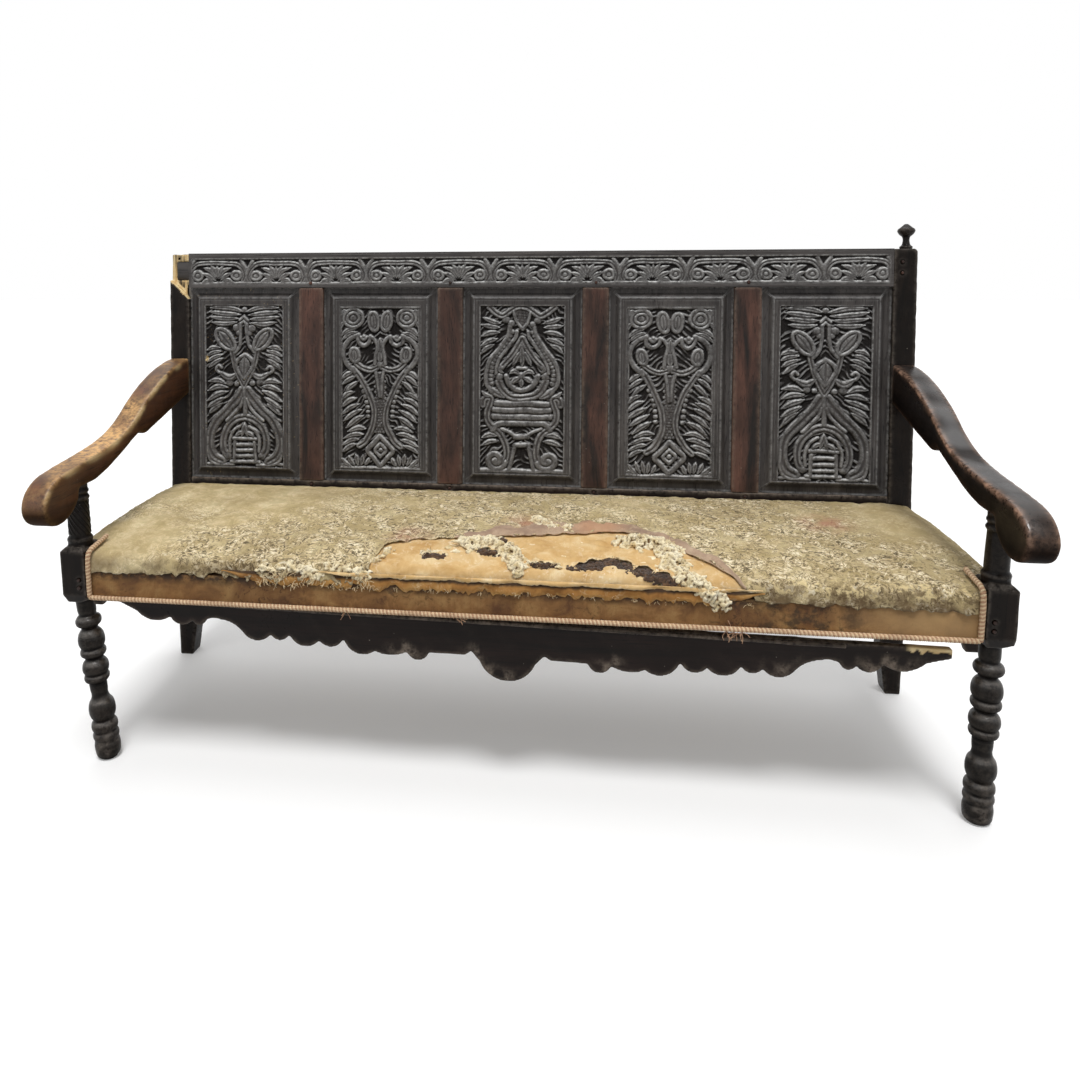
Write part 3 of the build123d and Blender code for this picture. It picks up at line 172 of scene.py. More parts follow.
class Finish(Nodes):
    """Short calls for building one material."""

    def __init__(self, name, roughness=0.5):
        self.material = bpy.data.materials.new(name)
        self.material.use_nodes = True
        self.tree = self.material.node_tree
        self.shader = self.tree.nodes["Principled BSDF"]
        self.shader.inputs["Roughness"].default_value = roughness
        self.place = self.add("ShaderNodeTexCoord")["Object"]

    def link(self, output, socket):
        self.tree.links.new(output, self.shader.inputs[socket])

    def paint(self, colour):
        """Make a colour the base of the finish."""
        self.colour = colour
        self.link(colour, "Base Color")

    def tint(self, factor, colour):
        """Lay a colour over the base, by a factor."""
        self.paint(self.mix(factor, self.colour, colour))

    def split(self):
        return self.add("ShaderNodeSeparateXYZ", {0: self.place})[:2]

    def stretched(self, *stretch):
        return self.add("ShaderNodeMapping", {"Vector": self.place, "Scale": stretch})["Vector"]

    def noise(self, scale, detail=3.0, roughness=0.55, distortion=0.0, place=None):
        values = {"Vector": place or self.place, "Scale": scale, "Detail": detail}
        values.update({"Roughness": roughness, "Distortion": distortion})
        return self.add("ShaderNodeTexNoise", values)["Fac"]

    def ramp(self, factor, *stops):
        node = self.tree.nodes.new("ShaderNodeValToRGB")
        self.tree.links.new(factor, node.inputs["Fac"])
        elements = node.color_ramp.elements
        while len(elements) < len(stops):
            elements.new(0.5)
        for element, (position, colour) in zip(elements, stops):
            element.position = position
            element.color = tone(colour)
        return node.outputs["Color"]

    def mix(self, factor, first, second):
        values = {0: factor}
        for index, value in ((6, first), (7, second)):
            values[index] = value if isinstance(value, bpy.types.NodeSocket) else tone(value)
        return self.add("ShaderNodeMix", values, data_type="RGBA")[2]

    def spread(self, value, low, high, to_low=0.0, to_high=1.0):
        values = {"Value": value, "From Min": low, "From Max": high, "To Min": to_low, "To Max": to_high}
        return self.add("ShaderNodeMapRange", values)["Result"]

    def mark(self, name):
        return self.add("ShaderNodeAttribute", attribute_name=name)["Fac"]

    def near(self, centre, radius):
        """One at a place on the piece, falling to nothing at a radius from it."""
        gap = self.add("ShaderNodeVectorMath", {0: self.place, 1: centre}, operation="DISTANCE")["Value"]
        return self.spread(gap, radius, 0.0)

    def relief(self, height, strength, distance):
        values = {"Height": height, "Strength": strength, "Distance": distance}
        self.link(self.add("ShaderNodeBump", values)["Normal"], "Normal")


def tone(colour):
    """A colour written as a hex string, as linear light with full opacity."""
    if not isinstance(colour, str):
        return (colour, colour, colour, 1.0)
    levels = [int(colour[n:n + 2], 16)/255 for n in (0, 2, 4)]
    linear = [c/12.92 if c <= 0.04045 else ((c + 0.055)/1.055)**2.4 for c in levels]
    return (*linear, 1.0)


def oak(name, dark, light, worn, grain_axis, wear_and_highlight=0.6, gloss=0.34, dirt_and_shade_tone="0d0b0a", shine=0.2, blotch=0.55):
    """Old oak: grain along an axis, pores, wax, arrises worn to a paler tone, dirt in the recesses, and the
    painted highlights and painted shade that some pieces mark.
    """
    finish = Finish(name)
    along_grain = [finish.stretched(*(stretch if axis == grain_axis else 1.0 for axis in range(3)))
                   for stretch in (0.035, 0.11)]
    pores = finish.noise(420, 3, 0.6, place=along_grain[0])
    figure = finish.noise(26, 5, 0.6, 0.8, place=along_grain[1])
    patches = finish.noise(5.5, 3, 0.6)
    scuffs = finish.noise(95, 4, 0.7)
    dirt_and_shade = finish.mark("dirt_and_shade")
    finish.paint(finish.ramp(figure, (0.36, dark), (0.64, light)))
    finish.tint(finish.spread(patches, 0.38, 0.62, 0.0, blotch), dark)
    finish.tint(finish.spread(pores, 0.56, 0.68, 0.0, 0.75), dirt_and_shade_tone)
    # Worn arrises, and the painted highlights that some pieces mark on faces turned up to the light, take the
    # pale tone.
    finish.tint(finish.times(finish.mark("wear_and_highlight"), finish.spread(scuffs, 0.32, 0.6), wear_and_highlight, clamp=True), worn)
    # Dirt in recesses, and the painted shade that some pieces mark on downward faces and between knots, take
    # the dark tone.
    finish.tint(finish.times(dirt_and_shade, 0.85, clamp=True), dirt_and_shade_tone)
    # Carved crowns a little paler: partly from being worn, partly painted highlight.
    tops = finish.spread(finish.mark("relief"), 0.55, 1.0)
    finish.tint(finish.times(tops, finish.spread(scuffs, 0.3, 0.62), 0.15), worn)
    torn = finish.noise(150, 4, 0.7, place=along_grain[1])
    finish.tint(finish.mark("fresh"), finish.ramp(torn, (0.3, "c99f62"), (0.62, "f2dcab")))
    cells = finish.add("ShaderNodeTexVoronoi", {"Vector": finish.place, "Scale": 38})["Distance"]
    specks = finish.math("LESS_THAN", cells, 0.045)
    finish.tint(finish.times(specks, finish.spread(finish.noise(7, 2), 0.52, 0.62), 0.55), "8d857b")
    dull = finish.spread(patches, 0.3, 0.75, gloss, gloss + 0.2)
    dull = finish.plus(dull, finish.times(dirt_and_shade, 0.3), finish.spread(scuffs, 0.35, 0.7, -0.05, 0.1))
    finish.link(dull, "Roughness")
    sheen = finish.spread(dirt_and_shade, 0.0, 0.8, shine, 0.15*shine)
    finish.link(finish.plus(sheen, finish.times(finish.mark("polish"), 0.5)), "Specular IOR Level")
    height = finish.plus(finish.times(pores, -0.5), finish.times(figure, 0.5), finish.times(scuffs, 0.35))
    finish.relief(height, 0.35, 0.0009)
    return finish.material


# Meshes
def placed(name, data):
    """A new piece in the scene."""
    piece = bpy.data.objects.new(name, data)
    scene.collection.objects.link(piece)
    return piece


def mesh_piece(name, places, faces, material):
    mesh = bpy.data.meshes.new(name)
    mesh.from_pydata(np.asarray(places, float).tolist(), [], faces)
    mesh.update()
    mesh.materials.append(material)
    return placed(name, mesh)


def pairs(first, second):
    return np.stack([first, second], axis=1)


def grid_points(across_places, up_places):
    """Both measures of each point of a grid, row by row."""
    return [measure.ravel() for measure in np.meshgrid(across_places, up_places)]


def grid_faces(rows, columns):
    """Quads of a grid of points that is laid out row by row."""
    low = (np.arange(rows - 1)[:, None]*columns + np.arange(columns - 1)[None, :]).ravel()
    return np.stack([low, low + 1, low + columns + 1, low + columns], axis=1)


def places_of(mesh):
    places = np.empty(len(mesh.vertices)*3)
    mesh.vertices.foreach_get("co", places)
    return places.reshape(-1, 3)


def normals_of(mesh):
    normals = np.empty(len(mesh.vertices)*3)
    mesh.vertex_normals.foreach_get("vector", normals)
    return normals.reshape(-1, 3)


def move_to(mesh, places):
    mesh.vertices.foreach_set("co", places.ravel())
    mesh.update()


def set_mark(mesh, name, values):
    """Keep one number for each point, for the material to read."""
    layer = mesh.attributes.get(name) or mesh.attributes.new(name, "FLOAT", "POINT")
    layer.data.foreach_set("value", np.asarray(values, np.float32))


def neighbour_mean(mesh, values, rounds=1):
    edges = np.empty(len(mesh.edges)*2, dtype=np.int64)
    mesh.edges.foreach_get("vertices", edges)
    ends = np.concatenate([edges[0::2], edges[1::2]])
    others = np.concatenate([edges[1::2], edges[0::2]])
    count = np.maximum(np.bincount(ends, minlength=len(values)), 1)
    for _ in range(rounds):
        if values.ndim == 1:
            values = np.bincount(ends, values[others], len(values))/count
        else:
            values = np.stack([np.bincount(ends, c[others], len(c))/count for c in values.T], axis=1)
    return values


def ripple(places, wave, seed, waves=7):
    """Smooth irregularity between about -1 and 1, the same each run, from waves in scattered directions."""
    draw = np.random.default_rng(seed)
    total = np.zeros(len(places))
    for _ in range(waves):
        direction = draw.normal(size=places.shape[1])
        direction *= draw.uniform(0.6, 1.7)*2*pi/(wave*np.linalg.norm(direction))
        total += np.sin(places @ direction + draw.uniform(0, 2*pi))
    return total/sqrt(waves)


def patchy(places, wave, seed, mean, swing):
    """Irregular patches, between 0 and 1."""
    return np.clip(mean + swing*ripple(places, wave, seed), 0, 1)


def voxels(piece, size):
    """Rebuild a piece's mesh from small cubes."""
    remesh = piece.modifiers.new("voxels", "REMESH")
    remesh.mode = "VOXEL"
    remesh.voxel_size = size


def plain(piece):
    """Turn a piece with modifiers into a plain mesh."""
    graph = bpy.context.evaluated_depsgraph_get()
    mesh = bpy.data.meshes.new_from_object(piece.evaluated_get(graph))
    piece.modifiers.clear()
    piece.data = mesh
    return mesh


def standing(mesh):
    """How far each point stands out from its neighbours, in metres."""
    places = places_of(mesh)
    return ((places - neighbour_mean(mesh, places))*normals_of(mesh)).sum(axis=1)


def mark_wear(mesh, gain):
    """Mark worn arrises, and concave places for dirt and painted shade, from how far each point stands out
    from its neighbours.
    """
    places = places_of(mesh)
    ends = np.array([tuple(edge.vertices) for edge in mesh.edges[:400]])
    lengths = np.linalg.norm(places[ends[:, 0]] - places[ends[:, 1]], axis=1)
    stand = neighbour_mean(mesh, standing(mesh), 2)*gain/lengths.mean()
    set_mark(mesh, "wear_and_highlight", np.clip(stand, 0, 1))
    set_mark(mesh, "dirt_and_shade", np.clip(-stand - 0.1, 0, 1))


def merged_copy(node, material=None):
    """A copy of a frame node's mesh with its loose triangles joined."""
    shell = bmesh.new()
    shell.from_mesh(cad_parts[node].data)
    bmesh.ops.remove_doubles(shell, verts=shell.verts, dist=1e-5)
    mesh = bpy.data.meshes.new(node + "_worn")
    shell.to_mesh(mesh)
    shell.free()
    if material:
        mesh.materials.append(material)
    return mesh


def add_mark(mesh, name, values):
    """Raise a mark where the new values are higher."""
    before = np.zeros(len(mesh.vertices), np.float32)
    if name in mesh.attributes:
        mesh.attributes[name].data.foreach_get("value", before)
    set_mark(mesh, name, np.clip(np.maximum(before, values), 0, 1))


def worn_foot(mesh):
    """Crisper turning on the leg, scuffed feet, glossier upward faces of the turning with a painted highlight,
    painted shade on its downward faces and dust on the top of the block.
    """
    places = places_of(mesh)
    z = places[:, 2]
    turned = (z < turning_high) & (z > turning_low)
    lean = [np.polyfit(z[turned], places[turned, axis], 1) for axis in (0, 1)]
    out = pairs(*(places[:, axis] - np.polyval(lean[axis], z) for axis in (0, 1)))
    radii = np.linalg.norm(out, axis=1)
    rows = (z/(2*mm)).astype(int)
    counts = np.bincount(rows[turned], minlength=rows.max() + 1)
    profile = np.bincount(rows[turned], radii[turned], minlength=rows.max() + 1)/np.maximum(counts, 1)
    kept = np.nonzero(counts)[0]
    profile = np.interp(np.arange(len(profile)), kept, profile[kept])
    bell = np.exp(-(np.arange(-12, 13)/6.0)**2)
    soft = np.convolve(np.pad(profile, 12, mode="edge"), bell/bell.sum(), mode="valid")
    deeper = np.clip(0.95*(profile - soft), -4.2*mm, 0.5*mm)
    fade = np.clip((turning_high - z)/turning_fade, 0, 1)*np.clip((z - turning_low)/turning_fade, 0, 1)
    places[:, :2] += out/np.maximum(radii, mm)[:, None]*(deeper[rows]*fade*turned)[:, None]
    move_to(mesh, places)
    mark_wear(mesh, 6.0)
    up = normals_of(mesh)[:, 2]
    add_mark(mesh, "wear_and_highlight", np.clip(1 - z/scuffed_height, 0, 1)*patchy(places, 0.03, 211, 0.5, 0.7)*0.8)
    leg = z < leg_top
    # Painted highlight and more gloss on the upward faces of the turning, painted shade on its downward faces.
    set_mark(mesh, "polish", leg*np.clip(up*1.5 - 0.2, 0, 1))
    add_mark(mesh, "wear_and_highlight", leg*np.clip(up*1.5 - 0.3, 0, 0.6))
    add_mark(mesh, "dirt_and_shade", leg*np.clip(-up*1.4 - 0.1, 0, 0.85))
    block_top = (z > 0.425) & (z < 0.455)
    add_mark(mesh, "wear_and_highlight", block_top*np.clip(up*1.4 - 0.3, 0, 0.9))


def row_extremes(rows, heights):
    """The lowest and the highest place in the row of each point."""
    lowest = np.full(rows.max() + 1, 9.0)
    highest = np.full(rows.max() + 1, -9.0)
    np.minimum.at(lowest, rows, heights)
    np.maximum.at(highest, rows, heights)
    return lowest[rows], highest[rows]


def arm_parts(mesh):
    """For each place of an arm: run from the nose, depth below the top and share of the thickness there."""
    places = places_of(mesh)
    run = (places[:, 1] - places[:, 1].min())/mm
    bottom, top = row_extremes((run/3).astype(int), places[:, 2])
    below = top - places[:, 2]
    return run, below/mm, below/np.maximum(top - bottom, mm)


# Painted shade: an arm's sides and underside grow darker towards its lower edge.
def painted_underside_shade(mesh, share):
    add_mark(mesh, "dirt_and_shade", np.clip(share*1.35 - 0.35, 0, 0.85)*(normals_of(mesh)[:, 2] < 0.4))


def golden_arm(mesh):
    """Hands have rubbed the top golden and the inner arris pale; painted shade darkens the sides towards their
    lower edge.
    """
    places, normals = places_of(mesh), normals_of(mesh)
    run, depth, share = arm_parts(mesh)
    middle = np.exp(-((run - 190)/130)**2)
    rubbed = patchy(places, 0.07, 221, 0.35 + 0.55*middle, 0.3)
    add_mark(mesh, "wear_and_highlight", np.clip(normals[:, 2]*1.6 - 0.5, 0, 1)*rubbed)
    arris = np.exp(-((depth - 6)/6)**2)*np.clip(normals[:, 0]*3 - 0.3, 0, 1)
    set_mark(mesh, "fresh", 0.65*arris*patchy(places, 0.09, 222, 0.5, 0.8))
    painted_underside_shade(mesh, share)


def black_arm(mesh):
    """A black arm: a polished top, a pale arris that widens round the nose, and painted shade that darkens the
    sides towards their lower edge.
    """
    places, normals = places_of(mesh), normals_of(mesh)
    run, depth, share = arm_parts(mesh)
    set_mark(mesh, "polish", np.clip(normals[:, 2]*2 - 0.6, 0, 1)*patchy(places, 0.08, 223, 0.6, 0.6))
    width = np.interp(run, [0, 40, 120, 400], [9, 6, 4, 3])
    arris = np.exp(-((depth - 5)/width)**2)*np.clip(-normals[:, 0]*3 - 0.3, 0, 1)
    turn = np.exp(-((normals[:, 0] + 0.6)/0.3)**2)*np.clip(1 - run/34, 0, 1)
    add_mark(mesh, "wear_and_highlight", np.maximum(arris, turn)*patchy(places, 0.05, 224, 0.6, 0.6))
    painted_underside_shade(mesh, share)


def worn_lobes(mesh):
    """The apron's lobes are worn pale along their lower edge, and its right tip is freshly broken."""
    places = places_of(mesh)
    columns = np.round(places[:, 0]/(4*mm)).astype(int)
    lowest, highest = row_extremes(columns - columns.min(), places[:, 2])
    rise = (places[:, 2] - lowest)/mm
    drop = (highest - places[:, 2])/mm
    speckle = patchy(places, 0.04, 201, 0.65, 0.7)
    for middle, reach in ((-190, 24), (-25, 34), (190, 20), (492, 24), (668, 40)):
        lobe = np.exp(-((places[:, 0]/mm - middle)/reach)**2)
        add_mark(mesh, "wear_and_highlight", np.exp(-(rise/24)**4)*np.clip(1.5*lobe, 0, 1)*speckle)
    add_mark(mesh, "wear_and_highlight", np.exp(-(drop/2.5)**2)*0.8)
    tip = np.clip((places[:, 0] - places[:, 0].max())/mm + 78, 0, 10)/10
    ragged = 8 + 3*ripple(places[:, :1], 0.02, 202)
    set_mark(mesh, "fresh", tip*np.clip(ragged - drop, 0, 1))


def dusty_strip(mesh):
    """Grey dust along the strip over the apron."""
    places = places_of(mesh)
    add_mark(mesh, "wear_and_highlight", np.clip(0.4 + 0.5*ripple(places*[1, 1, 0.2], 0.12, 241), 0.1, 0.8))


def on_back(places):
    """Each place up along the lean of the back and out of its front face, in millimetres."""
    y, z = places[:, 1] - back_y, places[:, 2] - seat_rail_top
    return (y*sin(rake) + z*cos(rake))/mm, (z*sin(rake) - y*cos(rake))/mm


def split_cheek(mesh):
    """The pale wood where the front of the post's top has split off."""
    places, normals = places_of(mesh), normals_of(mesh)
    up, out = on_back(places)
    sloping = (normals[:, 2] > 0.25) & (out > -14.5) & (out < -0.3) & (up > 490)
    cheek = (out > -16.5) & (out < -12) & (normals[:, 1] < -0.6) & (up > 498)
    fibres = patchy(places*[1, 1, 0.2], 0.012, 231, 0.62, 0.6)
    set_mark(mesh, "fresh", np.clip(sloping*1.0 + cheek*fibres, 0, 1))


def painted_ledge_highlight(mesh):
    """A painted highlight along the upper arris of the bottom rail."""
    up, out = on_back(places_of(mesh))
    add_mark(mesh, "wear_and_highlight", np.exp(-((up - opening_low)/2.6)**2)*(out > -6))


def worn_solid(node, material, voxel, rounds=4, touch=None):
    """A wooden piece with softened arrises, small dents and marks of wear, in place of its frame node."""
    piece = placed(node + "_worn", merged_copy(node, material))
    voxels(piece, voxel*mm)
    soften = piece.modifiers.new("soften", "SMOOTH")
    soften.factor = 0.5
    soften.iterations = rounds
    mesh = plain(piece)
    places = places_of(mesh)
    seed = sum(ord(letter) for letter in node)
    shift = dent_depth*(ripple(places, 0.06, seed) - 1.2)
    places = places + normals_of(mesh)*shift[:, None]
    places[:, 2] = np.maximum(places[:, 2], 0)
    move_to(mesh, places)
    mark_wear(mesh, 6.0)
    if touch:
        touch(mesh)
    mesh.shade_smooth()
    finished(piece, [node])


def finished(piece, nodes):
    """Ride on the fixed frame and stand for frame nodes, which are hidden."""
    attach(piece, "root")
    if nodes:
        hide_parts(*nodes)


# Carving: strokes in millimetres on one half, mirrored
def smooth_path(points):
    """A soft line through points, with steps short enough for the carving."""
    points = np.asarray(points, float)
    if len(points) <= 2:
        return points
    ends = np.vstack([2*points[0] - points[1], points, 2*points[-1] - points[-2]])
    part = np.linspace(0, 1, 7)[:-1, None]
    runs = []
    for a, b, c, d in zip(ends, ends[1:], ends[2:], ends[3:]):
        bend = (2*a - 5*b + 4*c - d)*part**2 + (3*b - a - 3*c + d)*part**3
        runs.append(0.5*(2*b + (c - a)*part + bend))
    return np.vstack(runs + [points[-1:]])


def oval(centre, long, short, angle):
    """Points round an oval that is turned by an angle."""
    turn = radians(angle)
    places = []
    for step in np.radians(np.linspace(0, 360, 17)):
        a, b = long*cos(step), short*sin(step)
        places.append((centre[0] + a*cos(turn) - b*sin(turn), centre[1] + a*sin(turn) + b*cos(turn)))
    return places


def curl(centre, outer, inner, start, turns):
    """Points along a spiral from its outer end to its eye."""
    places = []
    for part in np.linspace(0, 1, 15):
        angle = radians(start) + 2*pi*turns*part
        radius = outer + (inner - outer)*part
        places.append((centre[0] + radius*cos(angle), centre[1] + radius*sin(angle)))
    return places


stroke_gain = 1.6


def carve(heights, u, v, motif):
    """Raise strokes out of the ground, from 0 at the ground to 1 at the top of the carving."""
    for shape, width, points, top in motif:
        width *= stroke_gain
        path = smooth_path(points)
        low, high = path.min(axis=0) - width, path.max(axis=0) + width
        near = np.nonzero((u > low[0]) & (u < high[0]) & (v > low[1]) & (v < high[1]))[0]
        if not len(near):
            continue
        spots = pairs(u[near], v[near])
        if len(path) == 1:
            gap = np.hypot(*(spots - path[0]).T)
            along = np.full(len(gap), 0.5)
        else:
            steps = np.diff(path, axis=0)
            apart = spots[:, None, :] - path[None, :-1, :]
            part = np.clip((apart*steps).sum(axis=2)/(steps**2).sum(axis=1), 0, 1)
            gaps = np.linalg.norm(apart - part[..., None]*steps, axis=2)
            nearest = gaps.argmin(axis=1)
            rows = np.arange(len(spots))
            gap = gaps[rows, nearest]
            along = (nearest + part[rows, nearest])/len(steps)
        reach = width*np.sin(pi*np.clip(along, 0.03, 0.97))**0.6 if shape == "leaf" else width
        across = np.clip(gap/reach, 0, 1)
        crown = np.sqrt(1 - across**2)
        if shape == "band":
            crown *= 1 - 0.5*np.exp(-(across/0.32)**2)
        if shape == "leaf":
            crown *= 1 - 0.3*np.exp(-(across/0.2)**2)
        heights[near] = np.maximum(heights[near], top*crown)


def beads(points, radius, spacing):
    """Round bosses set along a line."""
    path = smooth_path(points)
    run = np.concatenate([[0], np.cumsum(np.linalg.norm(np.diff(path, axis=0), axis=1))])
    places = np.arange(0, run[-1] + 0.1, spacing)
    return [rib(radius, tuple(np.interp(place, run, way) for way in path.T), top=0.9) for place in places]


def pebbles(corners, radius, spacing):
    """Small bosses that fill a four-sided patch, given as two rows of a left and a right end."""
    (a, b), (c, d) = corners
    rows = max(2, int(hypot(c[0] - a[0], c[1] - a[1])/spacing))
    dots = []
    for row in range(rows + 1):
        part = row/rows
        left = np.array(a) + (np.array(c) - a)*part
        right = np.array(b) + (np.array(d) - b)*part
        count = max(1, int(np.linalg.norm(right - left)/spacing))
        for n in range(count + 1):
            spot = left + (right - left)*(n + 0.5*(row % 2))/(count + 0.5)
            dots.append(rib(radius, tuple(spot), top=0.55))
    return dots


def rib(width, *points, top=1.0):
    """One stroke of the carving: its shape, half width, points and height."""
    return ("rib", width, points, top)


def band(width, *points):
    return ("band", width, points, 1.0)


def leaves(width, *paths):
    return [("leaf", width, path, 1.0) for path in paths]


palmette = [
    *leaves(4.8, [(4, 380), (40, 388), (88, 389)], [(10, 372), (50, 374), (91, 380)],
            [(14, 362), (46, 361), (89, 367)], [(18, 352), (50, 348), (82, 353)]),
    rib(2.6, (-10, 378), (10, 358)), rib(2.6, (-10, 366), (6, 350)), rib(6.5, (19, 338)),
    rib(5.0, (13, 327)), rib(5.0, (0, 384)), rib(3.2, (7, 350), (8, 322), (12, 298), (25, 280)),
    rib(3.4, *oval((48, 311), 31, 16, 48)), *leaves(7.5, [(31, 291), (48, 312), (64, 331)]),
    *leaves(4.4, [(60, 292), (80, 291), (95, 284)], [(57, 283), (78, 279), (96, 270)],
            [(54, 274), (76, 267), (95, 256)], [(54, 264), (74, 255), (92, 242)]),
    rib(3.6, (0, 275), (14, 265), (22, 249), (14, 232), (0, 216)),
    *leaves(9.0, [(0, 268), (0, 246), (0, 224)]), band(4.6, (33, 285), (27, 258), (16, 226), (0, 196)),
    *leaves(6.0, [(20, 229), (40, 218), (66, 232)]), rib(3.0, (66, 230), (73, 238), (66, 246), (58, 241)),
    rib(6.0, (39, 206)), rib(4.6, (21, 203)),
    *leaves(5.0, [(48, 203), (68, 210), (93, 207)], [(44, 194), (68, 194), (94, 185)],
            [(44, 184), (70, 175), (95, 161)], [(50, 169), (72, 157), (94, 143)],
            [(58, 154), (76, 142), (92, 127)]), rib(4.0, (0, 190), (0, 150), (0, 128)),
    band(8.0, (7, 186), (21, 165), (45, 138), (71, 112), (87, 84), (90, 52), (79, 25), (60, 13)),
    rib(3.0, (5, 166), (13, 146), (30, 126), (46, 112)),
    band(6.2, (0, 122), (23, 115), (44, 96), (55, 68), (54, 42), (45, 26)), rib(6.0, (42, 27)),
    rib(3.0, (13, 98), (29, 86), (38, 62), (37, 36)), *leaves(4.6, [(-4, 112), (2, 92), (8, 72)]),
    *leaves(4.0, [(2, 84), (14, 80), (24, 72)]), rib(3.4, (-28, 66), (28, 66)),
    rib(3.2, (-20, 51), (20, 51)), rib(3.2, (-20, 38), (20, 38)), rib(3.2, (-22, 25), (22, 25)),
    rib(3.4, (25, 58), (27, 14)), rib(3.4, (-36, 11), (36, 11)),
    rib(3.2, (30, 4), (68, 4), (87, 12), (95, 34), (95, 70)), rib(3.0, (84, 6), (94, 4)),
]
branching = [
    rib(3.0, *oval((66, 364), 23, 21, 0)), rib(3.0, *oval((66, 364), 14, 12, 0)), rib(6.0, (66, 364)),
    *leaves(3.6, [(48, 372), (58, 384), (72, 388)], [(78, 376), (88, 382), (93, 372)],
            [(84, 356), (92, 350), (94, 340)]), rib(3.2, *oval((16, 356), 22, 12, 82)),
    *leaves(7.0, [(15, 340), (16, 356), (18, 372)]),
    *leaves(4.2, [(58, 340), (78, 336), (94, 322)], [(56, 331), (76, 326), (93, 311)],
            [(58, 322), (72, 316), (88, 302)]),
    rib(3.6, (24, 320), (28, 305), (40, 298), (52, 305), (57, 320)),
    rib(2.8, (33, 318), (40, 311), (48, 318)), rib(3.4, (40, 320)),
    rib(3.4, (24, 320), (14, 313), (6, 297), (11, 272), (13, 254)),
    *leaves(6.5, [(0, 316), (0, 300), (0, 284)], [(0, 284), (0, 270), (0, 258)]), rib(6.0, (0, 252)),
    rib(4.4, (55, 323), (75, 313), (89, 293), (90, 272), (79, 252), (62, 236)),
    rib(3.2, *oval((62, 276), 17, 11, 78)), *leaves(6.0, [(61, 264), (62, 276), (64, 288)]),
    band(5.0, (6, 246), (24, 240), (44, 245), (58, 256)), rib(3.2, (10, 236), (5, 210), (2, 176)),
    band(5.2, (66, 242), (50, 222), (28, 182), (16, 146), (17, 106), (34, 70), (50, 56)),
    *pebbles((((-12, 232), (12, 232)), ((-9, 92), (9, 92))), 2.9, 6.4),
    *beads([(46, 200), (37, 178), (32, 150), (31, 124)], 4.0, 12.5),
    *leaves(4.4, [(66, 236), (80, 230), (94, 217)], [(60, 226), (76, 217), (92, 203)],
            [(54, 213), (68, 202), (84, 187)]),
    *leaves(4.6, [(64, 186), (80, 181), (95, 168)], [(58, 173), (78, 165), (95, 150)],
            [(52, 159), (74, 148), (94, 132)], [(46, 145), (68, 132), (90, 115)],
            [(42, 128), (62, 117), (84, 99)]),
    *leaves(4.6, [(34, 98), (56, 100), (80, 91)], [(40, 86), (62, 85), (90, 74)],
            [(50, 73), (70, 70), (93, 58)], [(58, 60), (76, 54), (93, 42)]),
    rib(4.2, (0, 82), (16, 64), (32, 46), (18, 28), (2, 9)), rib(3.2, (0, 63), (14, 47), (0, 31), (-2, 30)),
    rib(4.4, (0, 47)),
    *leaves(4.0, [(40, 9), (33, 18), (30, 28)], [(48, 9), (46, 22), (44, 34)],
            [(56, 9), (58, 24), (60, 36)], [(64, 9), (72, 22), (76, 33)], [(71, 8), (84, 16), (93, 27)],
            [(76, 6), (86, 8), (95, 13)]), rib(2.6, (95.5, 2), (95.5, 392), top=0.8),
    rib(3.2, (-97, 3), (97, 3)), rib(3.2, (-97, 391), (97, 391)),
]
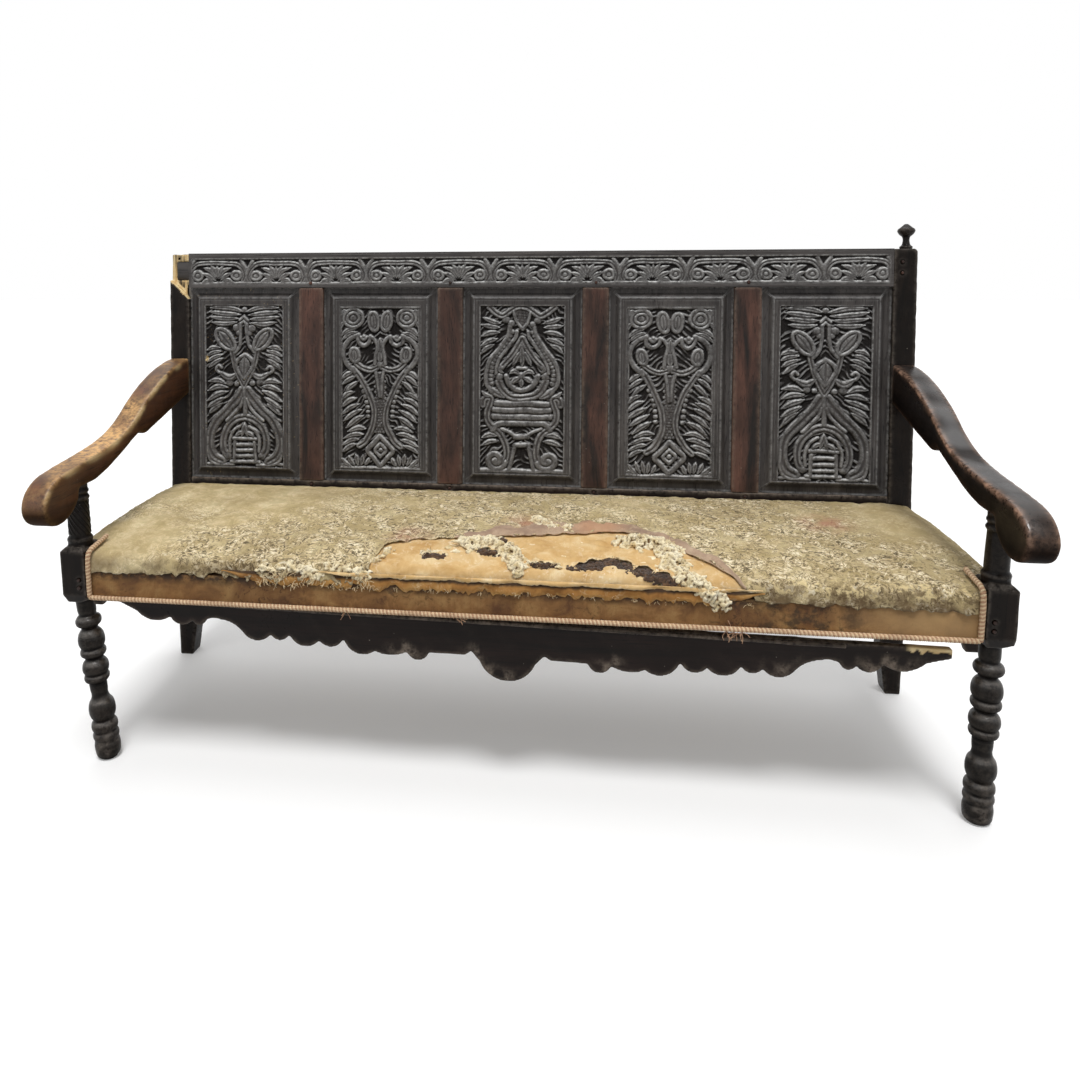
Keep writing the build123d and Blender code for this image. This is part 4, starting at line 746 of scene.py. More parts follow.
urn = [
    band(5.4, (0, 391), (14, 389), (28, 381), (44, 371), (60, 377), (76, 390)),
    *pebbles((((-15, 380), (15, 380)), ((-2, 348), (2, 348))), 3.2, 6.6),
    rib(3.0, (20, 380), (12, 356), (0, 340)), rib(6.0, (37, 361)), rib(5.4, (25, 352)),
    rib(3.8, (28, 345), (33, 322), (52, 296), (74, 268), (85, 240), (82, 212), (68, 192)),
    rib(3.2, (13, 334), (16, 318), (32, 298), (50, 274), (60, 252), (62, 236)),
    *beads([(24, 332), (34, 310), (54, 284), (70, 256), (74, 230), (70, 208)], 4.2, 9.5),
    band(5.2, (0, 318), (12, 296), (28, 272), (46, 252)), rib(4.4, (47, 249)),
    *leaves(5.0, [(0, 302), (0, 276), (0, 250)], [(3, 288), (13, 270), (20, 254)]),
    rib(3.0, (-9, 247), (9, 247)), rib(6.0, (0, 230)),
    *leaves(4.4, [(4, 233), (15, 240), (28, 235)], [(4, 227), (15, 221), (26, 212)],
            [(0, 224), (0, 214), (0, 204)]), rib(4.6, (0, 195), (16, 199), (30, 211), (37, 228)),
    band(6.2, (0, 177), (26, 181), (44, 195), (55, 216)), rib(6.4, (54, 228)),
    *leaves(3.6, [(44, 236), (52, 244), (50, 254)]),
    *leaves(4.6, [(50, 353), (70, 357), (92, 366)], [(52, 343), (72, 345), (95, 348)],
            [(52, 331), (74, 331), (96, 323)], [(58, 317), (78, 312), (96, 301)],
            [(66, 304), (82, 296), (95, 282)]), *leaves(6.4, [(42, 178), (62, 189), (80, 206)]),
    *leaves(4.0, [(70, 182), (82, 184), (93, 194)]), rib(5.4, (-60, 164), (60, 164)),
    rib(5.4, (-64, 149), (64, 149)), rib(5.4, (-66, 133), (66, 133)),
    rib(5.2, (0, 118), (44, 118), (58, 113), (66, 102)),
    band(5.4, (91, 160), (89, 172), (80, 179), (72, 174), (76, 158), (82, 142), (80, 122), (66, 106),
         (48, 90), (37, 70), (34, 48), (40, 26)), rib(5.0, *curl((61, 30), 24, 5, 190, 1.35)),
    rib(4.6, (61, 30)), *leaves(4.8, [(56, 88), (74, 90), (92, 84)], [(52, 76), (72, 74), (93, 66)]),
    rib(4.8, (-15, 87), (15, 87)), rib(4.6, (-15, 67), (15, 67)), rib(3.2, (46, 104), (28, 97), (17, 90)),
    rib(3.6, (16, 62), (22, 40), (29, 10)), rib(4.4, (-97, 5), (97, 5)),
]
lunette = [
    band(4.2, (0, 51), (30, 51), (51, 48), (64, 37), (70, 21), (66, 8)),
    rib(3.2, (76, 26), (71, 40), (60, 57)), rib(3.0, (74.5, 4), (74.5, 26), top=0.8),
    rib(3.0, *oval((50, 21), 11, 10, 0)), rib(4.6, (50, 21)),
    *leaves(4.2, [(4, 14), (16, 32), (36, 40)], [(6, 9), (20, 20), (37, 27)], [(2, 18), (7, 32), (16, 45)],
            [(0, 14), (0, 28), (0, 44)], [(10, 5), (24, 11), (38, 7)]), rib(2.8, (-75, 2.5), (75, 2.5)),
]


def gouged_leaves(u, v, seed):
    """Low diagonal gouge marks, in patches, that fill the ground between the main strokes."""
    spots = pairs(u, v)
    run = 0.62*np.abs(u) + 0.78*v + 3.0*ripple(spots, 45, seed)
    cuts = np.clip(np.sin(2*pi*run/10.5)*1.3, 0, 1)
    return 0.5*cuts*np.clip(0.75 + 0.9*ripple(spots, 55, seed + 1), 0, 1)


def carving_marks(mesh, relief, lift):
    """Marks of a carved face: a painted highlight on upward-facing slopes, paler worn arrises, painted shade
    on downward-facing slopes and a darker ground.
    """
    normals = normals_of(mesh)
    slope = normals[:, 2] - sin(rake)
    front = normals[:, 1] < 0.3
    relief = np.where(front, relief, 0.5)
    lift = np.where(front, lift, 0)
    raised = relief != 0.5
    set_mark(mesh, "relief", relief)
    # Painted highlight: the upward-facing slopes of the relief take the pale tone.
    painted_highlight = np.clip(slope*2.8 - 0.5, 0, 1)*(0.35 + 0.75*relief)
    set_mark(mesh, "wear_and_highlight", np.clip(np.clip(lift*2.0, 0, 0.4) + raised*painted_highlight, 0, 1))
    # Painted shade on the downward-facing slopes of the relief; the ground below the relief is darker too.
    shaded = raised*np.clip(-slope*1.6 - 0.1, 0, 0.8)
    set_mark(mesh, "dirt_and_shade", np.clip(np.clip(0.8 - relief*1.8, 0, 1) + shaded, 0, 1))


def hand_cut(u, v, seed):
    """Small wander of the carver's hand, and half of the field folded on to the other."""
    spots = pairs(u, v)
    return np.abs(u + 1.1*ripple(spots, 90, seed)), v + 1.1*ripple(spots, 90, seed + 1)


lift_scale = 1.2*mm
ground_depth = 5.2
panel_pitch = 339.4
opening_half = 138.7
opening_low, opening_high = 60.0, 526.8
tongue_half, tongue_low, tongue_high = 145.0, 52.5, 533.0
carved_half, carved_low, carved_height = 98.0, 88.6, 394.0
panel_profile = np.array([
    (-9, -14.2), (0, -14.2), (13, -13.2), (15, -12.2), (24, -3.7), (26, -3.0), (27.4, -3.0), (28.8, -4.1),
    (30.2, -3.0), (300, -3.0),
])
bevel_steps = np.array([0, 4.5, 9, 13, 15, 17, 19, 21, 23, 24.5])
bevel_width = 26
panel_back = -20.8


def carved_panel(number, motif, material):
    """A panel with a tongue, a moulded bevel and a field carved in relief, from its ground to the face."""
    centre = (number - 3)*panel_pitch

    def run(tongue, low, high, count):
        field = np.linspace(low + bevel_width, high - bevel_width, count)
        bevels = low + bevel_steps, field, high - bevel_steps[::-1]
        return np.concatenate([tongue[:1], *bevels, tongue[1:]])

    us = run((-tongue_half, tongue_half), -opening_half, opening_half, 157)
    vs = run((tongue_low, tongue_high), opening_low, opening_high, 287)
    u, v = grid_points(us, vs)
    inset = np.minimum(opening_half - np.abs(u), np.minimum(v - opening_low, opening_high - v))
    w = np.interp(inset, panel_profile[:, 0], panel_profile[:, 1])
    cut_u, cut_v = hand_cut(u, v - carved_low, 10*number)
    inside = np.nonzero((np.abs(u) < carved_half) & (v > carved_low) & (v < carved_low + carved_height))[0]
    tops = np.zeros(len(inside))
    carve(tops, cut_u[inside], cut_v[inside], motif)
    tops = np.maximum(tops, gouged_leaves(u[inside], v[inside], 300 + number))
    spots = pairs(u[inside], v[inside])
    matting = 0.22*ripple(spots, 5.0, number) + 0.25*ripple(spots, 60.0, number + 40)
    depth = ground_depth*(1 - tops) + matting*(1 - 0.6*tops)
    w[inside] -= np.clip(depth, 0.15, None)
    relief = np.full(len(u), 0.5)
    relief[inside] = tops
    places = np.stack(back_point((centre + u)*mm, v*mm, w*mm), axis=1)
    faces = grid_faces(len(vs), len(us))
    rim = np.concatenate([
        np.arange(len(us)), np.arange(2, len(vs))*len(us) - 1 + len(us),
        np.arange(len(u) - 2, len(u) - len(us) - 1, -1), np.arange(len(vs) - 2, 0, -1)*len(us),
    ])
    rim = np.unique(rim, return_index=True)
    rim = rim[0][np.argsort(rim[1])]
    back = np.stack(back_point((centre + u[rim])*mm, v[rim]*mm, np.full(len(rim), panel_back*mm)), axis=1)
    first = len(places)
    below = first + np.arange(len(rim))
    sides = np.stack([rim, below, np.roll(below, -1), np.roll(rim, -1)], axis=1)
    faces = faces.tolist() + sides.tolist() + [below[::-1].tolist()]
    piece = mesh_piece(f"panel_{number}_carved", np.vstack([places, back]), faces, material)
    mesh = piece.data
    lift = neighbour_mean(mesh, standing(mesh)/lift_scale)
    carving_marks(mesh, np.concatenate([relief, np.full(len(rim), 0.5)]), lift)
    if number == 1:
        chip = np.exp(-((u + 95)/3.5)**2 - ((v - 353)/9)**2) + 0.25*ripple(pairs(u, v), 6, 77)
        set_mark(mesh, "fresh", np.concatenate([np.clip(chip*3 - 1.2, 0, 1), np.zeros(len(rim))]))
    mesh.shade_smooth()
    finished(piece, [f"panel_{number}"])


def carved_top_rail(material):
    """The top rail with its frieze of leafy lunettes, in place of the plain rail."""
    low, high = opening_high, 609.8
    columns, rows = 1023, 53
    shell = bmesh.new()
    shell.from_mesh(merged_copy("top_rail"))
    bmesh.ops.dissolve_limit(shell, angle_limit=radians(2), verts=shell.verts, edges=shell.edges)
    outward = Vector((0, -cos(rake), sin(rake)))
    plane = Vector((0, back_y, seat_rail_top))
    fronts = [f for f in shell.faces
              if f.normal.dot(outward) > 0.99 and (f.calc_center_median() - plane).dot(outward) > -0.5*mm]
    corners = np.array([v.co for f in fronts for v in f.verts])
    bmesh.ops.delete(shell, geom=fronts, context="FACES_ONLY")
    half = np.abs(corners[:, 0]).max()/mm
    us = np.linspace(-half, half, columns)
    vs = np.linspace(low, high, rows)
    u, v = grid_points(us, vs)
    pitch, frieze_low, frieze_height = 149.0, 534.0, 60.0
    spots = pairs(u, v)
    wandered = u + 1.0*ripple(spots, 70, 5)
    cell_u = np.abs((np.abs(wandered) + pitch/2) % pitch - pitch/2)
    inside = np.nonzero((np.abs(u) < half - 9) & (v > frieze_low) & (v < frieze_low + frieze_height))[0]
    tops = np.zeros(len(inside))
    carve(tops, cell_u[inside], v[inside] - frieze_low + 0.8*ripple(spots[inside], 80, 6), lunette)
    w = np.zeros(len(u))
    depth = 4.6*(1 - tops) + 0.2*ripple(spots[inside], 5.0, 9)
    w[inside] = -np.clip(depth, 0.1, None)
    edge_wear = np.clip(1 - (high - v)/3.5, 0, 1)
    w -= edge_wear**2*(1.6 + 0.8*ripple(spots, 120, 3))*(v < high - 0.1)
    relief = np.full(len(u), 0.5)
    relief[inside] = tops
    places = np.stack(back_point(u*mm, v*mm, w*mm), axis=1)
    made = [shell.verts.new(p) for p in places]
    for face in grid_faces(rows, columns).tolist():
        shell.faces.new([made[n] for n in face])
    mesh = bpy.data.meshes.new("top_rail_carved")
    shell.to_mesh(mesh)
    shell.free()
    mesh.materials.append(material)
    piece = placed("top_rail_carved", mesh)
    plain_count = len(mesh.vertices) - len(u)
    marks = np.concatenate([np.full(plain_count, 0.5), relief])
    lift = standing(mesh)/lift_scale
    lift[:plain_count] = 0
    carving_marks(mesh, marks, neighbour_mean(mesh, np.clip(lift, -1, 1)))
    mesh.shade_smooth()
    mesh.set_sharp_from_angle(angle=radians(50))
    finished(piece, ["top_rail"])


# Cloth finishes, on a map in metres that follows each sheet
def cloth(name, tones, weave, stain, roughness=0.85, fleck=0.0, fleck_tone="4a3d28"):
    """Woven cloth: mottled tones, crossing threads, dirt, flecks and edges frayed to a paler tone."""
    finish = Finish(name, roughness)
    finish.place = finish.add("ShaderNodeTexCoord")["UV"]
    crossing = finish.times(*(finish.math("SINE", finish.times(way, 2*pi/weave)) for way in finish.split()))
    mottle = finish.noise(16, 5, 0.65, 0.5)
    finish.paint(finish.ramp(mottle, (0.32, tones[0]), (0.5, tones[1]), (0.7, tones[2])))
    finish.tint(finish.spread(finish.noise(5, 4, 0.6), 0.5, 0.78, 0.0, 0.7), stain)
    slubs = finish.noise(260, 2, 0.6, place=finish.stretched(1, 0.12, 1))
    finish.tint(finish.spread(slubs, 0.55, 0.75, 0.0, 0.3), tones[0])
    finish.tint(finish.spread(crossing, -0.2, -1.0, 0.0, 0.28), stain)
    if fleck:
        spots = finish.spread(finish.noise(85, 3, 0.7, 1.2), 0.55, 0.63)
        clumps = finish.spread(finish.noise(9, 3, 0.6), 0.44, 0.62)
        finish.tint(finish.times(spots, clumps, fleck), fleck_tone)
    finish.tint(finish.times(finish.mark("fray"), finish.spread(finish.noise(120, 3), 0.35, 0.6)), tones[2])
    finish.relief(finish.plus(finish.times(crossing, 0.3), finish.times(slubs, 0.5), mottle), 0.5, 0.0012)
    return finish


def tapestry():
    """Faded flowered weave: dense dark and pale flecks in worn patches, plain ends and rusty stains."""
    finish = cloth("tapestry", ("b29d6d", "cbb68a", "e1d0a6"), 0.0021, "978460", 0.92)
    bent = finish.add("ShaderNodeTexNoise", {"Vector": finish.place, "Scale": 26.0, "Detail": 2.0})["Color"]
    bent = finish.vector("ADD", finish.place, finish.scaled(bent, 0.03))
    x, s = finish.split()
    patterned = finish.spread(finish.noise(4.6, 3, 0.55), 0.3, 0.45)
    for place, reach in (((-0.62, 0.42, 0), 0.34), ((-0.78, 0.05, 0), 0.16), ((0.84, 0.3, 0), 0.22)):
        plain_part = finish.spread(finish.near(place, reach), 0.0, 0.5)
        patterned = finish.math("SUBTRACT", patterned, plain_part, clamp=True)
    finish.tint(finish.spread(x, 0.3, 0.85, 0.0, 0.55), "9a875f")
    flowers = finish.noise(24, 5, 0.75, 0.8, place=bent)
    sprigs = finish.noise(130, 4, 0.75, 1.2, place=bent)
    finish.tint(finish.times(finish.spread(flowers, 0.5, 0.42), 0.35), "96875c")
    pale = finish.times(finish.spread(sprigs, 0.48, 0.42), finish.spread(flowers, 0.46, 0.58))
    finish.tint(finish.times(pale, finish.spread(patterned, 0.0, 1.0, 0.2, 0.9)), "f1e8cf")
    dark = finish.times(finish.spread(sprigs, 0.5, 0.56), finish.spread(flowers, 0.33, 0.5))
    finish.tint(finish.times(dark, finish.spread(patterned, 0.0, 1.0, 0.12, 0.9)), "4a3d29")
    for place, reach in (((0.03, 0.19, 0), 0.07), ((0.63, 0.25, 0), 0.07), ((-0.2, 0.1, 0), 0.06)):
        rust = finish.times(finish.near(place, reach), finish.spread(finish.noise(30, 3), 0.35, 0.6), 0.75)
        finish.tint(rust, "a8705c")
    # The front roll darker: partly soiling, partly painted shade on the roll's face that turns down and
    # forward.
    soiled_and_shaded = finish.times(finish.spread(s, 0.0, -0.03), finish.spread(finish.noise(22, 4), 0.36, 0.56))
    finish.tint(finish.times(soiled_and_shaded, finish.spread(x, 0.36, 0.5, 0.55, 0.9)), "59452c")
    front_roll = finish.times(finish.spread(s, -0.042, -0.026), finish.spread(s, 0.012, -0.006))
    rubbed = finish.times(front_roll, finish.spread(finish.noise(60, 5, 0.75), 0.5, 0.58))
    finish.tint(finish.times(rubbed, finish.spread(x, 0.38, 0.5, 0.0, 0.75)), "dcc896")
    return finish.material


def soiled_border():
    """The brown border: a dark, dirty stretch right of the tear, paler cloth at the right end, and a painted
    shadow along its top under the torn hems.
    """
    finish = cloth("border_cloth", ("5c3b20", "8a6338", "a98452"), 0.0015, "472c18", 0.88, 0.7, "33210f")
    x, z = finish.split()
    finish.tint(finish.spread(x, 0.55, 0.72, 0.0, 0.55), "c2a070")
    stretch = finish.times(finish.spread(x, 0.42, 0.47), finish.spread(x, 0.66, 0.58))
    finish.tint(finish.times(stretch, finish.spread(finish.noise(34, 5, 0.7), 0.46, 0.58), 0.8), "2f2416")
    # Painted shadow along the top of the border, under the overhanging hems, strongest on the left.
    painted_hem_shadow = finish.times(finish.spread(z, 0.382, 0.397), finish.spread(x, 0.5, 0.42, 0.15, 0.88))
    finish.tint(finish.times(painted_hem_shadow, finish.spread(finish.noise(45, 4, 0.7), 0.34, 0.52)), "22150b")
    return finish.material


def old_gold_hem():
    """The old gold cloth below the canvas, with a near-black painted shadow where the canvas overhangs it."""
    finish = cloth("old_gold_cloth", ("8a5c2a", "b07c3e", "cf9f5c"), 0.0016, "6d4720", 0.88, 0.4, "e3cfa2")
    finish.tint(finish.spread(finish.split()[1], 0.4085, 0.413, 0.0, 0.92), "1f1309")
    return finish.material


def reddish_lining():
    """The faded lining, salmon where its middle was covered longest."""
    finish = cloth("reddish_lining", ("8a7260", "a88d76", "c3ab90"), 0.0016, "755d4c", 0.9, 0.4, "cbb497")
    finish.tint(finish.spread(finish.near((0.17, 0.18, 0), 0.07), 0.0, 0.6, 0.0, 0.5), "c8946c")
    return finish.material


# The stuffed seat: places along the bench and back from the top of the front roll, in millimetres
rail_front = front_y/mm + 10.0
roll = 20.0
roll_y = rail_front + roll
seat_rear_y = back_y/mm - 2.0
seat_run = seat_rear_y - roll_y
seat_front_z = 437.1
seat_end = 861.5
end_roll_x = 851.5
notch_x = 816.0
far_off = 200.0
notch_s = block_back_y/mm + 1.0 - roll_y
lump_xs = np.linspace(-seat_end, seat_end, 175)
lump_ss = np.linspace(-60, seat_run, 51)
lumps = np.zeros((len(lump_ss), len(lump_xs)))
pad_floor, pad_held = 0.4106, 0.416


def between(table, x, s):
    """Read a table of lumps at any place."""
    column = np.clip((x - lump_xs[0])/(lump_xs[1] - lump_xs[0]), 0, len(lump_xs) - 1.001)
    row = np.clip((s - lump_ss[0])/(lump_ss[1] - lump_ss[0]), 0, len(lump_ss) - 1.001)
    c, r = column.astype(int), row.astype(int)
    a, b = column - c, row - r
    front = (1 - a)*table[r, c] + a*table[r, c + 1]
    rear = (1 - a)*table[r + 1, c] + a*table[r + 1, c + 1]
    return (1 - b)*front + b*rear


def seat_place(x, s, lift):
    """Places of a layer at a lift over the stuffing, and the way that they face."""
    drop = 6*np.clip((np.abs(x) - 815.5)/46, 0, 1) + 5*np.clip((np.abs(x) - end_roll_x)/10, 0, 1)**2
    lift = lift + between(lumps, x, s)
    angle = np.clip(-s/roll, 0, pi/2)
    part = np.clip(s/seat_run, 0, 1)
    top_z = seat_front_z + 46*part - 36*part**2
    down = np.maximum(-s - roll*pi/2, 0)
    y = np.where(s >= 0, roll_y + s, roll_y - (roll + lift)*np.sin(angle))
    z = np.where(s >= 0, top_z + lift, seat_front_z - roll + (roll + lift)*np.cos(angle) - down) - drop
    normals = np.stack([np.zeros(len(x)), -np.sin(angle), np.cos(angle)], axis=1)
    return np.stack([x, y, z], axis=1)*mm, normals


def stuffed_pad(material):
    """The stuffing, swollen by a cloth simulation between the rails; its lumps shape the layers above."""
    piece = placed("seat_pad", merged_copy("seat_stuffing", material))
    voxels(piece, 9*mm)
    mesh = plain(piece)
    room_to_swell, most_swelling = 2.5, 5*mm
    rest = places_of(mesh) - normals_of(mesh)*room_to_swell*mm
    rest[:, 2] = np.maximum(rest[:, 2], pad_floor)
    move_to(mesh, rest)
    held = piece.vertex_groups.new(name="held")
    low = np.nonzero((rest[:, 2] < pad_held) | (rest[:, 1] > (seat_rear_y - 5)*mm))[0]
    held.add(low.tolist(), 1.0, "REPLACE")
    swell = piece.modifiers.new("swell", "CLOTH")
    stuff = {"quality": 4, "mass": 0.25, "tension_stiffness": 12, "compression_stiffness": 12}
    stuff.update({"bending_stiffness": 0.6, "use_pressure": True, "uniform_pressure_force": 4})
    for key, value in stuff.items():
        setattr(swell.settings, key, value)
    swell.settings.effector_weights.gravity = 0
    swell.settings.vertex_group_mass = "held"
    swell.collision_settings.use_collision = False
    for step in range(1, 21):
        scene.frame_set(step)
    graph = bpy.context.evaluated_depsgraph_get()
    swollen = piece.evaluated_get(graph)
    move = places_of(swollen.data) - rest
    piece.modifiers.clear()
    scene.frame_set(1)
    reach = np.maximum(np.linalg.norm(move, axis=1), 1e-9)
    move *= np.minimum(1, most_swelling/reach)[:, None]
    move_to(mesh, rest + neighbour_mean(mesh, move, 2))
    places = places_of(mesh)
    dips = 1.6*ripple(places[:, :2], 0.16, 21) + 1.0*ripple(places[:, :2], 0.07, 22)
    dips *= np.clip((places[:, 2] - pad_held)/0.02, 0, 1)
    move_to(mesh, places + normals_of(mesh)*(dips*mm)[:, None])
    mesh.shade_smooth()
    tree = BVHTree.FromPolygons(places_of(mesh).tolist(), [tuple(p.vertices) for p in mesh.polygons])
    x, s = grid_points(lump_xs*0.997, lump_ss)
    nominal, normals = seat_place(x, s, 0.0)
    found = np.zeros(len(x))
    for n, (place, facing) in enumerate(zip(nominal, normals)):
        hit = tree.ray_cast(Vector(place + facing*0.03), Vector(-facing), 0.06)
        if hit[0] is not None:
            found[n] = 30 - hit[3]/mm
    table = np.clip(found, -3.5, 4.5).reshape(lumps.shape)
    table[lump_ss < -roll*pi/2] *= 0.2
    for _ in range(2):
        table[1:-1] = (table[:-2] + 2*table[1:-1] + table[2:])/4
    lumps[:] = table
    finished(piece, ["seat_stuffing"])


def cloth_piece(name, places, faces, flat, fray, material, thickness, offset=0.0):
    """A sheet of cloth with a thickness, a flat map in metres and a mark along its frayed edges."""
    piece = mesh_piece(name, places, faces, material)
    mesh = piece.data
    layer = mesh.uv_layers.new(name="sheet")
    corner = np.empty(len(mesh.loops), dtype=np.int64)
    mesh.loops.foreach_get("vertex_index", corner)
    layer.data.foreach_set("uv", (flat[corner]*mm).ravel())
    set_mark(mesh, "fray", fray)
    solid = piece.modifiers.new("thickness", "SOLIDIFY")
    solid.thickness = thickness*mm
    solid.offset = offset
    plain(piece).shade_smooth()
    return piece


def seat_sheet(name, xs, ss, keep, lift, material, thickness):
    """A sheet over the seat, torn away where keep is below zero; the edge follows keep's zero line."""
    rows, columns = len(ss), len(xs)
    x, s = np.meshgrid(xs, ss)
    field = keep(x.ravel(), s.ravel()).reshape(x.shape)
    slope_s, slope_x = np.gradient(field, ss, xs)
    steep = np.maximum(slope_s**2 + slope_x**2, 0.05)
    step_x = np.clip(-field*slope_x/steep, -6, 6)
    step_s = np.clip(-field*slope_s/steep, -6, 6)
    outside = field < 0
    x = np.where(outside, x + step_x, x).ravel()
    s = np.where(outside, s + step_s, s).ravel()
    faces = grid_faces(rows, columns)
    gone = outside.ravel()[faces].all(axis=1)
    notch = (np.abs(x[faces].mean(axis=1)) > notch_x) & (s[faces].mean(axis=1) < notch_s)
    faces = faces[~(gone | notch)]
    edge_gap = np.maximum(field.ravel(), 0)
    places, _ = seat_place(x, s, lift(x, s, edge_gap))
    used, faces = np.unique(faces, return_inverse=True)
    flat = pairs(x[used], s[used])
    fray = np.exp(-(edge_gap[used]/5.0)**2)
    faces = faces.reshape(-1, 4).tolist()
    return cloth_piece(name, places[used], faces, flat, fray, material, thickness, -1.0)


def fine_steps(stops, pitch):
    """Places from stop to stop, each run divided evenly at about a pitch."""
    runs = []
    for low, high in zip(stops, stops[1:]):
        count = max(2, int(round((high - low)/pitch)) + 1)
        runs.append(np.linspace(low, high, count)[:-1])
    return np.concatenate(runs + [stops[-1:]])


tear_edge = np.array([
    (-262, -62), (-250, 20), (-232, 62), (-179, 92), (-99, 103), (17, 124), (111, 142), (205, 160),
    (250, 148), (293, 122), (328, 86), (398, 8), (440, -42), (458, -75),
], float)


def tear_line(x):
    return np.interp(x, tear_edge[:, 0], tear_edge[:, 1], left=-400, right=-400)


def cover_kept(x, s):
    """Above zero where the woven cover is left: behind the tear and above its ragged lower edge."""
    spots = pairs(x, s)
    ragged = 3.5*ripple(spots, 34, 31) + 2.2*ripple(spots, 13, 32)
    torn_part = (x > tear_edge[0, 0]) & (x < tear_edge[-1, 0])
    torn = np.where(torn_part, (s - tear_line(x) - ragged)*0.85, far_off)
    along = x[:, None]
    stops = [-800, -700, -600, -280, -240, 440, 500, 800]
    ragged = np.interp(x, stops, [0.15, 0.35, 1, 1, 0.5, 0.5, 0.4, 0.3])
    hem = np.interp(x, [-816, -700, -560, -300, 440, 816], [-47, -45, -41, -44, -46, -50])
    hem = hem + ragged*(6.0*ripple(along, 70, 33) + 3.6*ripple(along, 23, 34))
    return np.minimum(torn, s - hem)


def cover_lift(x, s, gap):
    spots = pairs(x, s)
    curl_up = np.exp(-(gap/11.0)**2)*(1.6 + 2.2*ripple(spots, 40, 35))
    wrinkle = 0.7*ripple(spots*[1, 2.2], 38, 36)
    return 4.4 + np.clip(curl_up, -0.6, 6) + wrinkle


slit_edge = np.array([
    (-175, 30), (-139, 25), (-100, 40), (-40, 50), (20, 30), (64, 8), (100, 8), (137, 14), (191, 28),
    (238, 8), (291, -18), (312, -22),
], float)
slit_width = np.array([
    (-175, -9), (-160, 5), (-122, 5), (-110, -7), (-76, -7), (-62, 7), (-15, 7), (-4, -7), (40, -7),
    (50, 6), (84, 6), (95, -7), (112, -7), (126, 7), (170, 11), (191, 12), (240, 10), (270, 12), (295, 10),
    (315, -9),
], float)


def slit_gap(x, s):
    """How far a place lies behind the slit in the canvas, and half the slit's width there."""
    along = x[:, None]
    middle = np.interp(x, slit_edge[:, 0], slit_edge[:, 1]) + 2.5*ripple(along, 40, 45)
    half = np.interp(x, slit_width[:, 0], slit_width[:, 1])
    return s - middle, half


def canvas_lift(x, s, _):
    spots = pairs(x, s)
    behind, half = slit_gap(x, s)
    raised = np.exp(-np.maximum(behind, 0)/16)*(behind > 0)*np.clip(half/5, 0, 1)
    open_part = np.clip((tear_line(x) - s)/18, 0, 1)*np.clip((s + 30)/30, 0, 1)
    fold = 2.2*ripple(spots*[1, 1.6], 60, 41) + 1.3*ripple(spots, 24, 42)
    return 1.9 + open_part*(1.2 + fold + 10*raised)


def canvas_kept(x, s):
    along = x[:, None]
    behind, half = slit_gap(x, s)
    hem = s + 30 + 1.6*ripple(along, 46, 43) + 0.9*ripple(along, 15, 44)
    return np.minimum(hem, np.where(half > 0, np.abs(behind) - half, far_off))


def front_sheet(name, x_range, z_range, y, material, seed, ragged=0.0, wave=1.0, thickness=1.2):
    """A strip of cloth on the front of the seat, with a ragged lower edge and small waves."""
    xs = np.linspace(*x_range, int((x_range[1] - x_range[0])/5))
    zs = np.linspace(*z_range, max(4, int((z_range[1] - z_range[0])/5)))
    x, z = grid_points(xs, zs)
    low = np.clip((z_range[1] - z)/(z_range[1] - z_range[0]), 0, 1)
    shift = ragged*(ripple(x[:, None], 58, seed) + 0.8*ripple(x[:, None], 17, seed + 1))
    spots = pairs(x, z)
    out = wave*(0.5 + 0.5*ripple(spots*[1, 2.0], 70, seed + 2))*np.clip(low*3, 0, 1)
    if ragged:
        near_end = np.minimum(x - x_range[0], x_range[1] - x)
        low = low*np.clip(near_end/70, 0.05, 1)
        z = z_range[1] - low*(z_range[1] - z_range[0])
    places = np.stack([x, y - out, z + low*shift], axis=1)*mm
    fray = np.clip(low*4 - 3, 0, 1) if ragged else np.zeros(len(x))
    faces = grid_faces(len(zs), len(xs)).tolist()
    return cloth_piece(name, places, faces, spots, fray, material, thickness)


